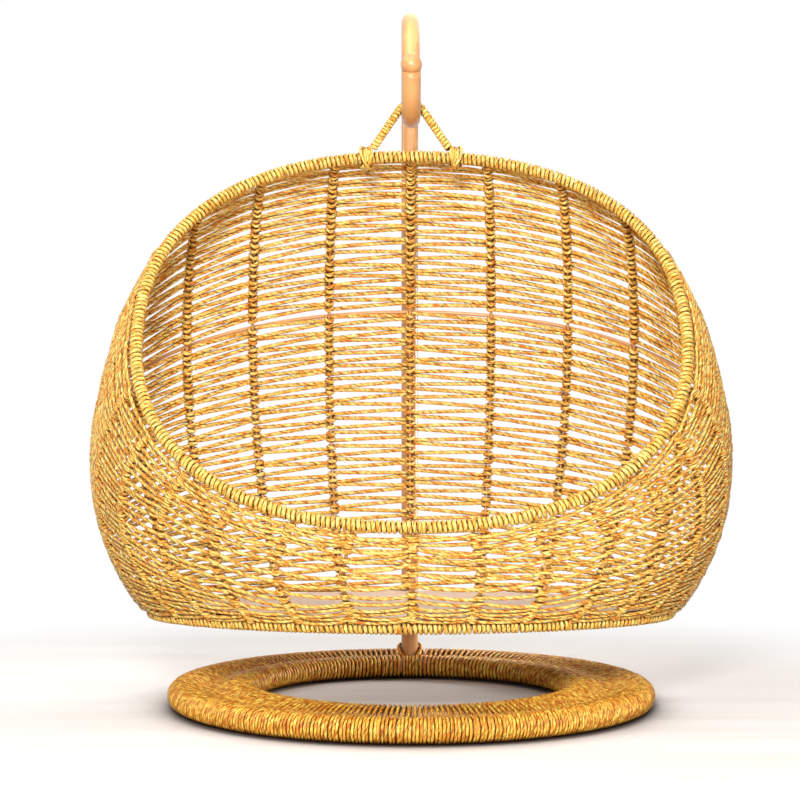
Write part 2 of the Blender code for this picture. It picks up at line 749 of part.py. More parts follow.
def bail(parent):
    """The bent rod, and the cord wound round each half of it."""
    path = bail_path()
    forward = Vector((0, 1, 0))
    rod = sweep(path, circle(BAIL_ROD_DIAMETER / 2, WRAP_SIDES), forward)
    solid_rod("bail_rod", rod, "painted_steel", parent)
    outer = sweep(path, circle(BAIL_RADIUS, WRAP_SIDES), forward)
    inner = sweep(path, circle(BAIL_ROD_DIAMETER / 2 + GAP, WRAP_SIDES), forward)
    middle = (len(path) - 1) / 2
    seam = GAP / (path[int(middle)] - path[int(middle) + 1]).length
    end = len(path) - 1
    for name, first, last in (
        ("bail_wrap_right", 0, middle - seam),
        ("bail_wrap_left", middle + seam, end - 1e-9),
    ):
        shell = [cut_loops(loops, first, last) for loops in (outer, inner)]
        hollow_tube(name, *shell, "cord", parent)


def lashing_loops(side, radius, grow=0.0):
    """Loops of a round section along the stretch of the rim that a lashing covers."""
    curve = wall_curve(0.0)
    half = (LASHING_LENGTH / 2 + grow) / (curve[1] - curve[2]).length
    station = side * BAIL_FOOT_STATION
    return cut_loops(rim_loops(radius, WRAP_SIDES), station - half, station + half)


def bail_lashing(name, side, parent):
    """The turns of cord that tie a leg of the bail to the rim, free to turn round the rim."""
    bore = WRAP_RADIUS + RUNNING_GAP
    outer = lashing_loops(side, bore + LASHING_THICKNESS)
    return hollow_tube(name, outer, lashing_loops(side, bore), "cord", parent)


def notch_for_lashing(side, panel):
    """Cuts the room that a lashing turns in out of the weave below it."""
    radius = WRAP_RADIUS + LASHING_THICKNESS + 3 * RUNNING_GAP
    loops = lashing_loops(side, radius, 2 * RUNNING_GAP)
    cut_away(panel, solid_rod(f"lashing_notch_cutter_{side}", loops, "cord", panel.parent))


# ---------------------------------------------------------------- chair


def build_stand():
    stand = add_pivot("stand", (0, 0, 0))
    front_and_back = BASE_STATIONS // 4
    base_tube("base_tube_outer", BASE_OUTER_RADIUS, 3 * front_and_back, stand)
    base_tube("base_tube_inner", BASE_INNER_RADIUS, 3 * front_and_back, stand)
    base_tie("base_tie_right", 0.0, stand)
    base_tie("base_tie_left", math.pi, stand)
    base_tie("base_tie_front", -math.pi / 2, stand)
    pole_plate(stand)
    base_wrap(stand)
    pole_object = pole(stand)
    spigot_object = pole_spigot(stand)
    pole_bolt(stand, pole_object, spigot_object)
    hook_end_cap(stand)
    return stand


def build_bail(stand):
    body = add_pivot("bail", (0, HANG_Y, HOOK_HEIGHT), stand)
    bail(body)
    bail_lashing("bail_lashing_right", 1, body)
    bail_lashing("bail_lashing_left", -1, body)
    return body


def build_basket(bail_body):
    basket = add_pivot("basket", bail_foot(0)[0], bail_body)
    wrapped_ring("rim", rim_loops, RIM_STATIONS // 2, basket)
    wrapped_ring("bottom_ring", ring_loops, RIM_STATIONS // 2, basket)
    for number in range(RIB_COUNT):
        rib(number, basket)
    mid_hoop(basket)
    back = (-SIDE_BORDER, SIDE_BORDER)
    back_panel = weave_panel("weave_back", *back, WALL_ROWS, SLOT_EVERY["back"], basket)
    notch_for_lashing(1, back_panel)
    notch_for_lashing(-1, back_panel)
    right = (SIDE_BORDER, FRONT_BORDER)
    left = (RIM_STATIONS - FRONT_BORDER, RIM_STATIONS - SIDE_BORDER)
    weave_panel("weave_right", *right, WALL_ROWS, SLOT_EVERY["side"], basket)
    weave_panel("weave_left", *left, WALL_ROWS, SLOT_EVERY["side"], basket)
    weave_panel("weave_front", right[1], left[0], FRONT_ROWS, SLOT_EVERY["front"], basket)
    for side, word in ((1, "right"), (-1, "left")):
        seat_bar(f"seat_bar_inner_{word}", side * SEAT_BAR_INNER_X, basket)
        seat_bar(f"seat_bar_outer_{word}", side * SEAT_BAR_OUTER_X, basket)
    seat_board(basket)
    return basket


def main():
    for found in list(bpy.data.objects):
        bpy.data.objects.remove(found)
    build_basket(build_bail(build_stand()))


main()
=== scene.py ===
"""Looks of the hanging egg chair: the cord, weave, paint, seat board, floor, light and camera.

Metres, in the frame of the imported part: +Z up, the origin on the floor at the centre of the base,
the basket facing -Y. The basket's form repeats the part's own surface, so that every cord runs
where the plain solids are.
"""

import math

import bpy
import numpy as np
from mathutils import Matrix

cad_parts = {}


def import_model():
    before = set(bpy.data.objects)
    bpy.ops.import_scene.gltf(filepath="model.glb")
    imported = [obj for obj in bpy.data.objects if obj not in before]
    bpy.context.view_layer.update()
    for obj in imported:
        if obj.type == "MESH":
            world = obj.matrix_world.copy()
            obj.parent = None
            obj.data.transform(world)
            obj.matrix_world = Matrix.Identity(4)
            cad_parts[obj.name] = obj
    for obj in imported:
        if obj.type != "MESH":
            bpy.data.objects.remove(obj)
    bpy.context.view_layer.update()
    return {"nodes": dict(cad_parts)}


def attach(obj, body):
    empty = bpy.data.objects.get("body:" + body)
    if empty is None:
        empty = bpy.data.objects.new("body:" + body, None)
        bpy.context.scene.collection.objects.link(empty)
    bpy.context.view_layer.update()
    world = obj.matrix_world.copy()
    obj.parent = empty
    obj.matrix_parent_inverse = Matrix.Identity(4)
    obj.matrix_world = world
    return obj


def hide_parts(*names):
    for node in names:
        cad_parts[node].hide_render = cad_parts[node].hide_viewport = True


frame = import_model()
RANDOM = np.random.default_rng(7)

# ---------------------------------------------------------------- sizes

# Basket form, as in the part
HANG_Y = 0.0
BASKET_Y = -0.0490
RING_HEIGHT = 0.2224
PROFILE_HALF_DEPTH = 0.4675
PROFILE_HALF_HEIGHT = 0.654
PROFILE_HEIGHT = RING_HEIGHT + 0.435
RIM_FRONT_HEIGHT = RING_HEIGHT + 0.222
RIM_HALF_WIDTH = 0.6165
RING_HALF_WIDTH = 0.611
SIDE_BULGE = 0.1365
BULGE_POWER = 0.74
RIM_SQUARENESS = 2.28
RING_SQUARENESS = 1.8
HOOP_PLACE = 0.39
HOOP_LIFT = 0.0196
HOOP_END = 4.125  # ribs from the back one
HOOP_RADIUS = 0.005
RIB_COUNT = 26
RIB_CROWDING = 0.19
RIB_RADIUS = 0.004
RIB_END = 0.7  # how far from the rim's or ring's centre a rib ends, over the winding's radius
FRAME_ROD_RADIUS = 0.005
WRAP_RADIUS = 0.015
BOARD_EDGE = 0.0035  # how far the seat board's edge is rounded over

# Base, as in the part
BASE_OUTER_RADIUS = 0.550
BASE_INNER_RADIUS = 0.396
BASE_TUBE_RADIUS = 0.019
BASE_HEIGHT = 0.029

# Pole, as in the part
POLE_RADIUS = 0.0225
POLE_Y = 0.473
POLE_FOOT_Z = 0.0333
FOOT_LENGTH = 0.090
FOOT_BEND_RADIUS = 0.450
POLE_LEAN = math.radians(12.5)
HOOK_RADIUS = 0.085
HOOK_DROP = 0.012
HOOK_SWEEP = math.radians(155.0)
HOOK_TIP_LENGTH = 0.046
CAP_RADIUS = 0.025
CAP_GAP = 0.0010  # from the pole's tip to the ball's edge
CAP_EDGE = 0.93  # the ball's edge, over the pole's radius
CAP_NECK = ((0.80, -0.012), (0.80, 0.0004), (0.90, 0.0006))  # radius over the pole's, and place past its tip
POLE_STEP = 0.012
ROUND_SIDES = 36

# Bail, as in the part
BAIL_ROD_RADIUS = 0.004
BAIL_RADIUS = 0.0105
BAIL_SADDLE = 0.0336  # from the hook's centre line to the bail's
BAIL_RISE = 0.093
BAIL_FOOT_STATION = 1.21  # in half ribs from the back one
BAIL_LEG_END = 0.0272  # the leg stops this far from the rim's centre line
BAIL_TURN_WIDTH = 1.4  # a turn's width over its thickness
LASHING_RADIUS = 0.0210  # to the middle of the lashing's cord
LASHING_TURNS = 3
LASHING_HALF_LENGTH = 0.0090
LASHING_CORD_RADIUS = 0.0040
LASHING_LOOP_CORD_RADIUS = 0.0036
LASHING_LOOP_LIFT = 0.0045  # how far outside the turns the crossed loops lie
LASHING_LOOP_GAP = 0.001  # half the height from one crossed loop to the other
LASHING_CROSSING = 0.013  # how far the crossed loops reach to each side
BAIL_STEP = 0.0015  # between points of the bail's centre line

# Cord
CORD_RADIUS = 0.0050  # of the cord wound on the frame and the base
WEAVE_RADIUS = 0.0043  # of the cord in the wall
BACK_WEAVE_RADIUS = 0.0054  # of the same cord across the back, where it is looser
LOOSE_FROM, LOOSE_TO = -0.05, 0.20  # where along Y it loosens
PLIES = 3
PLY_LENGTH = 0.020  # from one ply to the next along the cord
PLY_FLATNESS = 0.07
CORD_SIDES = 8
CORD_STEP = 0.006
ROWS_PER_PIECE = 25

# Rows of the wall
BACK_PITCH = 0.0178  # between cords along a rib at the back
SIDE_PITCH = 0.0128
FRONT_PITCH = 0.0172
FRONT_SPREAD = 1.6  # how much wider the rows lie apart in the loose part of the front
FRONT_SPREAD_PLACE = 0.50  # from the rim down
FRONT_SPREAD_WIDTH = 0.20
FRONT_START = 8  # in ribs from the back one, where the front's own looseness starts
FRONT_RIBS = 3  # over how many ribs it grows
ROW_UNEVENNESS = 0.16
ROW_JITTER = 0.30  # a cord's wander at a rib, over its free room there
KNOT_SLACK = 0.10  # how much a knot's size varies
KNOT_SAG = 0.0028  # how far a strand hangs down behind a rib
FRONT_SAG = 0.0045  # how far a cord hangs down between the ribs at the front
CELL_BOW = 0.25  # how closely a cord follows the wall's curve from rib to rib, 1 for all the way
CELL_LIFT = 0.0030  # how far outside the ribs' surface a cord lies halfway between them
CELL_LIFT_VARIATION = 0.0015
CELL_WANDER = 0.0013  # up or down, halfway between the ribs

# Windings
RIM_PITCH = 0.0106
RIM_UNEVENNESS = 0.16  # a turn's shift, over the pitch
RIM_TURN_POINTS = 14  # in each turn
RIM_NARROWING = 0.98  # a turn's width over its thickness
BASE_TURNS = 222  # round both tubes, and as many round the outer tube alone
BASE_PIECES = 3
BASE_NARROWING = 0.82  # a turn's width over its thickness
BASE_DIP = 0.011  # how far the turns sink between the two tubes
BASE_MIDDLE, BASE_MIDDLE_HALF = 0.475, 0.06  # the radius where they sink most, and how far it reaches
BASE_TURN_POINTS = 96  # in each turn round both tubes
SINGLE_TURN_PLACE = 0.58  # of a turn round the outer tube alone, between two others
SINGLE_TURN_TILT = 0.25  # over the step from one turn to the next
SINGLE_TURN_ARC = (-118, 176)  # in degrees of the tube's section
POLE_OUTER_ARC = (-80, 118)
POLE_INNER_ARC = (62, 260)
BASE_INNER_THICKENING = 0.20
BASE_MIDDLE_THINNING = 0.28
POLE_SLOT = math.radians(3.6)  # half the angle that the turns round both tubes leave free for the pole
HOOP_GAP = 0.011  # how much further apart the cords lie where the hoop shows between them
HOOP_GAP_FADE = 0.040
HOOP_GAP_RISE = 0.013  # the gap lies this far above the hoop, where the eye sees it through
POLE_FOOT_STRANDS = ((0.0282, 0.030), (0.0300, 0.042))  # reach from the pole's middle, and rise
BASE_REACH = BASE_TUBE_RADIUS + CORD_RADIUS  # from a tube's centre line to the cord's
BASE_START, BASE_END = math.pi / 2 + POLE_SLOT, 2.5 * math.pi - POLE_SLOT
BASE_STEP = (BASE_END - BASE_START) / BASE_TURNS

# Finishes, floor and camera
DEPTH_SHADE_REACH = 0.015  # how near a thing in front has to be to shade a cord or a rib
WARM_WHITE = (1.0, 0.985, 0.965, 1)
FLOOR_HALF = 30.0
FLOOR_FADE = (0.9, 2.1)  # metres from the chair's middle where the fade starts and ends
# The floor's glow for the camera: painted light that lifts the floor's shade away from the chair and leaves
# a painted contact shadow near it
FLOOR_GLOW = 0.37
FLOOR_GLOW_EDGES = (0.30, 0.72)  # metres from the middle where the floor's painted glow starts and is whole
CAMERA_PLACE = (-0.0265, -3.85, 0.624)
CAMERA_LENS = 72.2
CAMERA_SHIFT_Y = 0.052

# ---------------------------------------------------------------- basket form


def profile_y(height):
    return PROFILE_HALF_DEPTH * math.sqrt(1 - ((height - PROFILE_HEIGHT) / PROFILE_HALF_HEIGHT) ** 2)


TOP_SHARE = (HANG_Y - BASKET_Y) / PROFILE_HALF_DEPTH
RIM_TOP_HEIGHT = PROFILE_HEIGHT + PROFILE_HALF_HEIGHT * math.sqrt(1 - TOP_SHARE**2)
HOOK_HEIGHT = RIM_TOP_HEIGHT + BAIL_RISE
RIM_FRONT_Y = BASKET_Y - profile_y(RIM_FRONT_HEIGHT)
RIM_SLOPE = math.atan2(RIM_TOP_HEIGHT - RIM_FRONT_HEIGHT, HANG_Y - RIM_FRONT_Y)
FAN_Y = RIM_FRONT_Y - (RIM_FRONT_HEIGHT - RING_HEIGHT) / math.tan(RIM_SLOPE)


def wall(turn, share):
    """Points of the ribs' surface.

    turn is 0 at the back and grows towards +X. share is 0 at the rim and 1 at the bottom ring.
    """
    turn, share = np.broadcast_arrays(np.asarray(turn, float), np.asarray(share, float))
    slope = RIM_SLOPE * (1 - share)
    run, climb = np.cos(slope), np.sin(slope)
    depth, height = PROFILE_HALF_DEPTH, PROFILE_HALF_HEIGHT
    y0, z0 = FAN_Y - BASKET_Y, RING_HEIGHT - PROFILE_HEIGHT
    a = (run / depth) ** 2 + (climb / height) ** 2
    b = 2 * (y0 * run / depth**2 + z0 * climb / height**2)
    c = (y0 / depth) ** 2 + (z0 / height) ** 2 - 1
    root = np.sqrt(b * b - 4 * a * c)
    middle, half_length = -b / (2 * a), root / (2 * a)
    swell = np.clip(np.sin(np.pi * share), 0, None) ** BULGE_POWER
    half_width = RIM_HALF_WIDTH + (RING_HALF_WIDTH - RIM_HALF_WIDTH) * share + SIDE_BULGE * swell
    power = RIM_SQUARENESS + (RING_SQUARENESS - RIM_SQUARENESS) * share
    s, k = np.sin(turn), np.cos(turn)
    size = (np.abs(s) ** power + np.abs(k) ** power) ** (-1 / power)
    along = middle + half_length * size * k
    return np.stack([half_width * size * s, FAN_Y + along * run, RING_HEIGHT + along * climb], axis=-1)


def unit(vectors):
    return vectors / np.linalg.norm(vectors, axis=-1, keepdims=True)


def wall_frame(turn, share):
    """Unit vectors of the surface: along the rows, outward, and down the ribs."""
    step = 2e-3
    low, high = np.clip(np.asarray(share) - step, 0, 1), np.clip(np.asarray(share) + step, 0, 1)
    down = unit(wall(turn, high) - wall(turn, low))
    row = unit(wall(turn + step, share) - wall(turn - step, share))
    out = unit(np.cross(row, down))
    return row, out, unit(np.cross(out, row))


# ---------------------------------------------------------------- meshes


def lengths(path):
    """How far along the path each of its points lies."""
    return np.concatenate([[0.0], np.cumsum(np.linalg.norm(np.diff(path, axis=0), axis=1))])


def points_along(at, length, path):
    """Points of the path at the given lengths along it."""
    return np.stack([np.interp(at, length, path[:, i]) for i in range(path.shape[1])], axis=-1)


def put(name, data):
    """A new object in the scene."""
    made = bpy.data.objects.new(name, data)
    bpy.context.scene.collection.objects.link(made)
    return made


class Build:
    """Collects swept tubes into one mesh, with a corner attribute that the cord's material reads."""

    def __init__(self):
        self.points, self.quads, self.marks = [], [], []
        self.count = 0

    def tube(self, path, radius, sides=CORD_SIDES, up=None, closed=False, plies=False, seed=0.0, widen=1.0):
        """A tube along the path. radius is one number or one for each point.

        up, where given, is the way out of what the cord is wound on, and widen flattens it there.
        """
        path = np.asarray(path, float)
        number = len(path)
        if closed:
            tangent = unit(np.roll(path, -1, 0) - np.roll(path, 1, 0))
        else:
            tangent = unit(np.gradient(path, axis=0))
        across, rise = frames(tangent, up, closed)
        length = lengths(path)
        angle = 2 * np.pi * np.arange(sides) / sides
        size = np.broadcast_to(np.asarray(radius, float), (number,))[:, None]
        if plies:
            twist = np.pi * length / PLY_LENGTH + seed * 40
            lobe = 1 - PLY_FLATNESS * np.sin(angle[None, :] * PLIES / 2 - twist[:, None]) ** 2
            size = size * lobe
        wide = widen * np.cos(angle)[None, :, None]
        ring = across[:, None] * wide + rise[:, None] * np.sin(angle)[None, :, None]
        points = path[:, None] + ring * size[..., None]
        self.add_grid(points, closed, length, seed)
        if not closed:
            self.add_cap(self.count - number * sides, sides, True, seed)
            self.add_cap(self.count - sides, sides, False, seed)

    def add_grid(self, points, closed, length, seed):
        number, sides = points.shape[:2]
        index = self.count + np.arange(number * sides).reshape(number, sides)
        below = np.roll(index, -1, 0) if closed else index[1:]
        here = index if closed else index[:-1]
        quads = np.stack([here, np.roll(here, -1, 1), np.roll(below, -1, 1), below], axis=-1)
        rows = np.arange(len(here))
        ends = length[rows]
        nexts = np.append(length, length[-1] + 0.005)[rows + 1]
        around = np.arange(sides) / sides
        marks = np.empty(quads.shape + (3,))
        marks[..., 0, 0] = marks[..., 1, 0] = ends[:, None]
        marks[..., 2, 0] = marks[..., 3, 0] = nexts[:, None]
        marks[..., 0, 1] = marks[..., 3, 1] = around
        marks[..., 1, 1] = marks[..., 2, 1] = around + 1 / sides
        marks[..., 2] = seed
        self.points.append(points.reshape(-1, 3))
        self.quads.append(quads.reshape(-1, 4))
        self.marks.append(marks.reshape(-1, 4, 3))
        self.count += number * sides

    def add_cap(self, first, sides, start, seed):
        """Closes an end with quads that meet across it."""
        ring = first + np.arange(sides)
        if not start:
            ring = ring[::-1]
        half = sides // 2
        quads = [(ring[i], ring[sides - 1 - i], ring[sides - 2 - i], ring[i + 1]) for i in range(half - 1)]
        self.quads.append(np.array(quads))
        self.marks.append(np.full((len(quads), 4, 3), (0.0, 0.25, seed)))

    def finish(self, name, material, body, replaced=()):
        mesh = bpy.data.meshes.new(name)
        points, quads = np.concatenate(self.points), np.concatenate(self.quads)
        mesh.vertices.add(len(points))
        mesh.vertices.foreach_set("co", points.astype(np.float32).ravel())
        mesh.loops.add(quads.size)
        mesh.loops.foreach_set("vertex_index", quads.astype(np.int32).ravel())
        mesh.polygons.add(len(quads))
        mesh.polygons.foreach_set("loop_start", np.arange(0, quads.size, 4, dtype=np.int32))
        mesh.polygons.foreach_set("loop_total", np.full(len(quads), 4, dtype=np.int32))
        mesh.update(calc_edges=True)
        mesh.shade_smooth()
        marks = mesh.attributes.new("cord", "FLOAT_VECTOR", "CORNER")
        marks.data.foreach_set("vector", np.concatenate(self.marks).astype(np.float32).ravel())
        mesh.materials.append(material)
        made = put(name, mesh)
        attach(made, body)
        if replaced:
            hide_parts(*replaced)


def frames(tangent, up, closed):
    """Two unit vectors across each tangent, from an up vector or carried along without twist."""
    if up is not None:
        up = np.broadcast_to(np.asarray(up, float), tangent.shape)
        across = unit(np.cross(up, tangent))
        return across, np.cross(tangent, across)
    start = np.array([0.0, 0.0, 1.0]) if abs(tangent[0][2]) < 0.9 else np.array([1.0, 0.0, 0.0])
    across = np.empty_like(tangent)
    last = unit(np.cross(start, tangent[0]))
    for i, t in enumerate(tangent):
        last = last - t * np.dot(last, t)
        last = last / np.sqrt(np.dot(last, last))
        across[i] = last
    if closed:
        rise = np.cross(tangent[0], across[0])
        first = across[-1] - tangent[0] * np.dot(across[-1], tangent[0])
        gap = math.atan2(np.dot(first, rise), np.dot(first, across[0]))
        turn = -gap * np.arange(len(tangent)) / len(tangent)
        lift = np.cross(tangent, across)
        across = across * np.cos(turn)[:, None] + lift * np.sin(turn)[:, None]
    return across, np.cross(tangent, across)


def resample(path, step):
    """The path with points an even step apart."""
    length = lengths(path)
    number = max(3, int(round(length[-1] / step)) + 1)
    return points_along(np.linspace(0, length[-1], number), length, path)


def smooth_noise(number, spacing, rng):
    """Values from -1 to 1 that vary smoothly, with a knot every spacing places."""
    knots = rng.uniform(-1, 1, int(number / spacing) + 3)
    at = np.arange(number) / spacing
    low = at.astype(int)
    mix = at - low
    mix = mix * mix * (3 - 2 * mix)
    return knots[low] * (1 - mix) + knots[low + 1] * mix


# ---------------------------------------------------------------- materials


def new_material(name):
    made = bpy.data.materials.new(name)
    made.use_nodes = True
    return made, made.node_tree.nodes, made.node_tree.links, made.node_tree.nodes["Principled BSDF"]


def srgb(r, g, b):
    """A colour given in screen values from 0 to 255, as the linear values that a shader takes."""
    values = [v / 255 for v in (r, g, b)]
    return (*[v / 12.92 if v <= 0.04045 else ((v + 0.055) / 1.055) ** 2.4 for v in values], 1.0)


def math_node(nodes, links, operation, a, b=None, c=None):
    made = nodes.new("ShaderNodeMath")
    made.operation = operation
    for socket, value in zip(made.inputs, (a, b, c)):
        if value is None:
            continue
        if isinstance(value, (int, float)):
            socket.default_value = value
        else:
            links.new(value, socket)
    return made.outputs[0]


def ramp_node(nodes, links, value, stops):
    made = nodes.new("ShaderNodeValToRGB")
    made.color_ramp.elements[0].position, made.color_ramp.elements[0].color = stops[0]
    made.color_ramp.elements[1].position, made.color_ramp.elements[1].color = stops[-1]
    for place, colour in stops[1:-1]:
        made.color_ramp.elements.new(place).color = colour
    links.new(value, made.inputs["Fac"])
    return made.outputs["Color"]


def mix_colour(nodes, links, factor, a, b):
    made = nodes.new("ShaderNodeMix")
    made.data_type = "RGBA"
    for socket, value in zip((made.inputs[0], made.inputs[6], made.inputs[7]), (factor, a, b)):
        if isinstance(value, tuple):
            socket.default_value = value
        else:
            links.new(value, socket)
    return made.outputs[2]


def noise_node(nodes, links, vector, scale, detail=3.0, roughness=0.55):
    made = nodes.new("ShaderNodeTexNoise")
    made.inputs["Scale"].default_value = scale
    made.inputs["Detail"].default_value = detail
    made.inputs["Roughness"].default_value = roughness
    links.new(vector, made.inputs["Vector"])
    return made.outputs["Fac"]


def stretched(nodes, links, where, scale):
    """The coordinates, scaled."""
    made = nodes.new("ShaderNodeMapping")
    made.inputs["Scale"].default_value = scale
    links.new(where, made.inputs["Vector"])
    return made.outputs[0]


def set_bump(nodes, links, shader, height, strength, distance):
    made = nodes.new("ShaderNodeBump")
    made.inputs["Strength"].default_value = strength
    made.inputs["Distance"].default_value = distance
    links.new(height, made.inputs["Height"])
    links.new(made.outputs[0], shader.inputs["Normal"])


def set_roughness(nodes, links, shader, value, low, high):
    """Roughness from low to high, by a value from 0 to 1."""
    made = nodes.new("ShaderNodeMapRange")
    links.new(value, made.inputs["Value"])
    made.inputs["To Min"].default_value = low
    made.inputs["To Max"].default_value = high
    links.new(made.outputs[0], shader.inputs["Roughness"])


def openness(nodes, distance):
    """1 where nothing is near in front, and less where things within the distance hide the sky."""
    made = nodes.new("ShaderNodeAmbientOcclusion")
    made.samples = 4
    made.inputs["Distance"].default_value = distance
    return made.outputs["AO"]


def limited(nodes, links, value, gain, offset, most):
    """The value times gain plus offset, kept from 0 to most."""
    raised = math_node(nodes, links, "MULTIPLY_ADD", value, gain, offset)
    raised = math_node(nodes, links, "MAXIMUM", raised, 0.0)
    return math_node(nodes, links, "MINIMUM", raised, most)


def shaded(nodes, links, colour, shade_colour, distance, gain, offset):
    """Painted shade: the colour, turning to the shade colour where other things are close in front."""
    shade = limited(nodes, links, openness(nodes, distance), gain, offset, 0.95)
    return mix_colour(nodes, links, shade, colour, shade_colour)


def cord_material(name, light, middle, dark, fleck_and_shade, groove_shade_strength, depth):
    """Twisted straw: its strips, fibres and dark flecks, with painted shade in the grooves between its plies
    and painted shade deep between cords.
    """
    made, nodes, links, shader = new_material(name)
    marks = nodes.new("ShaderNodeAttribute")
    marks.attribute_name = "cord"
    split = nodes.new("ShaderNodeSeparateXYZ")
    links.new(marks.outputs["Vector"], split.inputs[0])
    along, around, seed = split.outputs
    # The ply's phase: it goes once round the cord in PLIES ply lengths
    shift = math_node(nodes, links, "MULTIPLY", seed, 40 / math.pi)
    reach = math_node(nodes, links, "DIVIDE", along, PLY_LENGTH)
    reach = math_node(nodes, links, "ADD", reach, shift)
    phase = math_node(nodes, links, "MULTIPLY", around, float(PLIES))
    phase = math_node(nodes, links, "SUBTRACT", phase, reach)
    wave = math_node(nodes, links, "SINE", math_node(nodes, links, "MULTIPLY", phase, math.pi))
    groove = math_node(nodes, links, "MULTIPLY", wave, wave)

    def noise_along(stretch, turns, salt, detail, roughness=0.6):
        """Noise that follows the cord, drawn out along its plies."""
        place = nodes.new("ShaderNodeCombineXYZ")
        links.new(math_node(nodes, links, "MULTIPLY", along, stretch), place.inputs[0])
        links.new(math_node(nodes, links, "MULTIPLY", phase, turns), place.inputs[1])
        links.new(math_node(nodes, links, "MULTIPLY", seed, salt), place.inputs[2])
        return noise_node(nodes, links, place.outputs[0], 1.0, detail, roughness)

    tone = noise_along(55.0, 1.6, 97.0, 4.0)
    colour = ramp_node(nodes, links, tone, [(0.38, dark), (0.50, middle), (0.62, light)])
    speck = limited(nodes, links, noise_along(120.0, 2.4, 311.0, 2.0, 0.5), 9.0, -5.15, 0.6)
    colour = mix_colour(nodes, links, speck, colour, fleck_and_shade)
    # Painted shade in the grooves between the plies, broken up along the cord
    groove_shade = math_node(nodes, links, "POWER", groove, 9.0)
    broken = limited(nodes, links, noise_along(70.0, 0.9, 41.0, 1.0), 7.0, -2.9, 1.0)
    groove_shade = math_node(nodes, links, "MULTIPLY", groove_shade, broken)
    groove_shade = math_node(nodes, links, "MULTIPLY", groove_shade, groove_shade_strength)
    colour = mix_colour(nodes, links, groove_shade, colour, fleck_and_shade)
    # Painted shade where other cords or a rib lie close in front
    colour = shaded(nodes, links, colour, fleck_and_shade, DEPTH_SHADE_REACH, -4.0, depth)
    links.new(colour, shader.inputs["Base Color"])
    shader.inputs["Roughness"].default_value = 0.45
    shader.inputs["Specular IOR Level"].default_value = 0.3
    grain = noise_along(60.0, 9.0, 53.0, 3.0)
    height = math_node(nodes, links, "MULTIPLY_ADD", groove, -0.6, grain)
    set_bump(nodes, links, shader, height, 0.8, 0.0009)
    return made


def paint_material(name, low, high, shade_colour=None):
    """Satin tan paint with a faint orange-peel surface; given a shade colour, it takes painted shade where
    other things are close in front.
    """
    made, nodes, links, shader = new_material(name)
    where = nodes.new("ShaderNodeTexCoord").outputs["Object"]
    tone = noise_node(nodes, links, where, 14.0, 4.0, 0.55)
    colour = ramp_node(nodes, links, tone, [(0.3, low), (0.7, high)])
    # Painted shade, used on the ribs
    if shade_colour:
        colour = shaded(nodes, links, colour, shade_colour, DEPTH_SHADE_REACH, -2.3, 1.62)
    links.new(colour, shader.inputs["Base Color"])
    set_roughness(nodes, links, shader, noise_node(nodes, links, where, 60.0), 0.30, 0.42)
    shader.inputs["Coat Weight"].default_value = 0.25
    shader.inputs["Coat Roughness"].default_value = 0.18
    set_bump(nodes, links, shader, noise_node(nodes, links, where, 900.0, 2.0), 0.15, 0.0002)
    return made


def board_material():
    """The seat panel: pale painted board, with a faint long grain and painted dark brown shade where the
    basket's walls are near.
    """
    made, nodes, links, shader = new_material("pale_board")
    where = nodes.new("ShaderNodeTexCoord").outputs["Object"]
    drawn = stretched(nodes, links, where, (3.0, 60.0, 60.0))
    grain = noise_node(nodes, links, drawn, 1.0, 5.0, 0.6)
    colour = ramp_node(nodes, links, grain, [(0.3, srgb(246, 234, 226)), (0.7, srgb(252, 247, 243))])
    # Painted shade: dark brown within a quarter metre of the walls, deepest close to them
    colour = shaded(nodes, links, colour, srgb(60, 34, 16), 0.25, -4.5, 3.35)
    links.new(colour, shader.inputs["Base Color"])
    shader.inputs["Roughness"].default_value = 0.55
    set_bump(nodes, links, shader, grain, 0.12, 0.0004)
    return made


def steel_material():
    """Plain bright steel, brushed round."""
    made, nodes, links, shader = new_material("plain_steel")
    where = nodes.new("ShaderNodeTexCoord").outputs["Object"]
    tone = noise_node(nodes, links, where, 300.0, 3.0, 0.6)
    colour = ramp_node(nodes, links, tone, [(0.3, srgb(176, 176, 178)), (0.7, srgb(204, 204, 206))])
    links.new(colour, shader.inputs["Base Color"])
    shader.inputs["Metallic"].default_value = 1.0
    set_roughness(nodes, links, shader, tone, 0.28, 0.42)
    return made


# Each cord's last colour is for its flecks and its painted shade; the numbers after it set the painted shade
# in the ply grooves and between cords
WOVEN = cord_material(
    "straw_cord", srgb(255, 238, 148), srgb(252, 196, 86), srgb(222, 122, 30), srgb(80, 30, 1), 0.95, 2.80
)
WOUND = cord_material(
    "straw_winding", srgb(255, 236, 144), srgb(250, 204, 98), srgb(228, 146, 46), srgb(92, 38, 2), 0.2, 2.30
)
BASE_WOUND = cord_material(
    "base_straw_winding", srgb(255, 220, 100), srgb(234, 160, 54), srgb(192, 104, 24), srgb(58, 20, 1),
    0.25, 2.50,
)
PAINT = paint_material("tan_paint", srgb(206, 144, 85), srgb(222, 164, 102))
# The ribs' paint is a little darker, and takes painted dark brown shade where the cords lie close
RIB_PAINT = paint_material("rib_paint", srgb(200, 138, 80), srgb(216, 156, 94), srgb(96, 48, 10))
BOARD = board_material()
STEEL = steel_material()

# ---------------------------------------------------------------- wall of cord


def rib_turn(number):
    """The angle of a rib, or of a place between ribs. The ribs stand closer together at the front."""
    even = 2 * np.pi * np.asarray(number) / RIB_COUNT
    return even + RIB_CROWDING * np.sin(even)


def rib_table(number):
    """Shares and lengths along a rib between the wrapped rim and the wrapped ring."""
    shares = np.linspace(0, 1, 400)
    return shares, lengths(wall(rib_turn(number), shares))


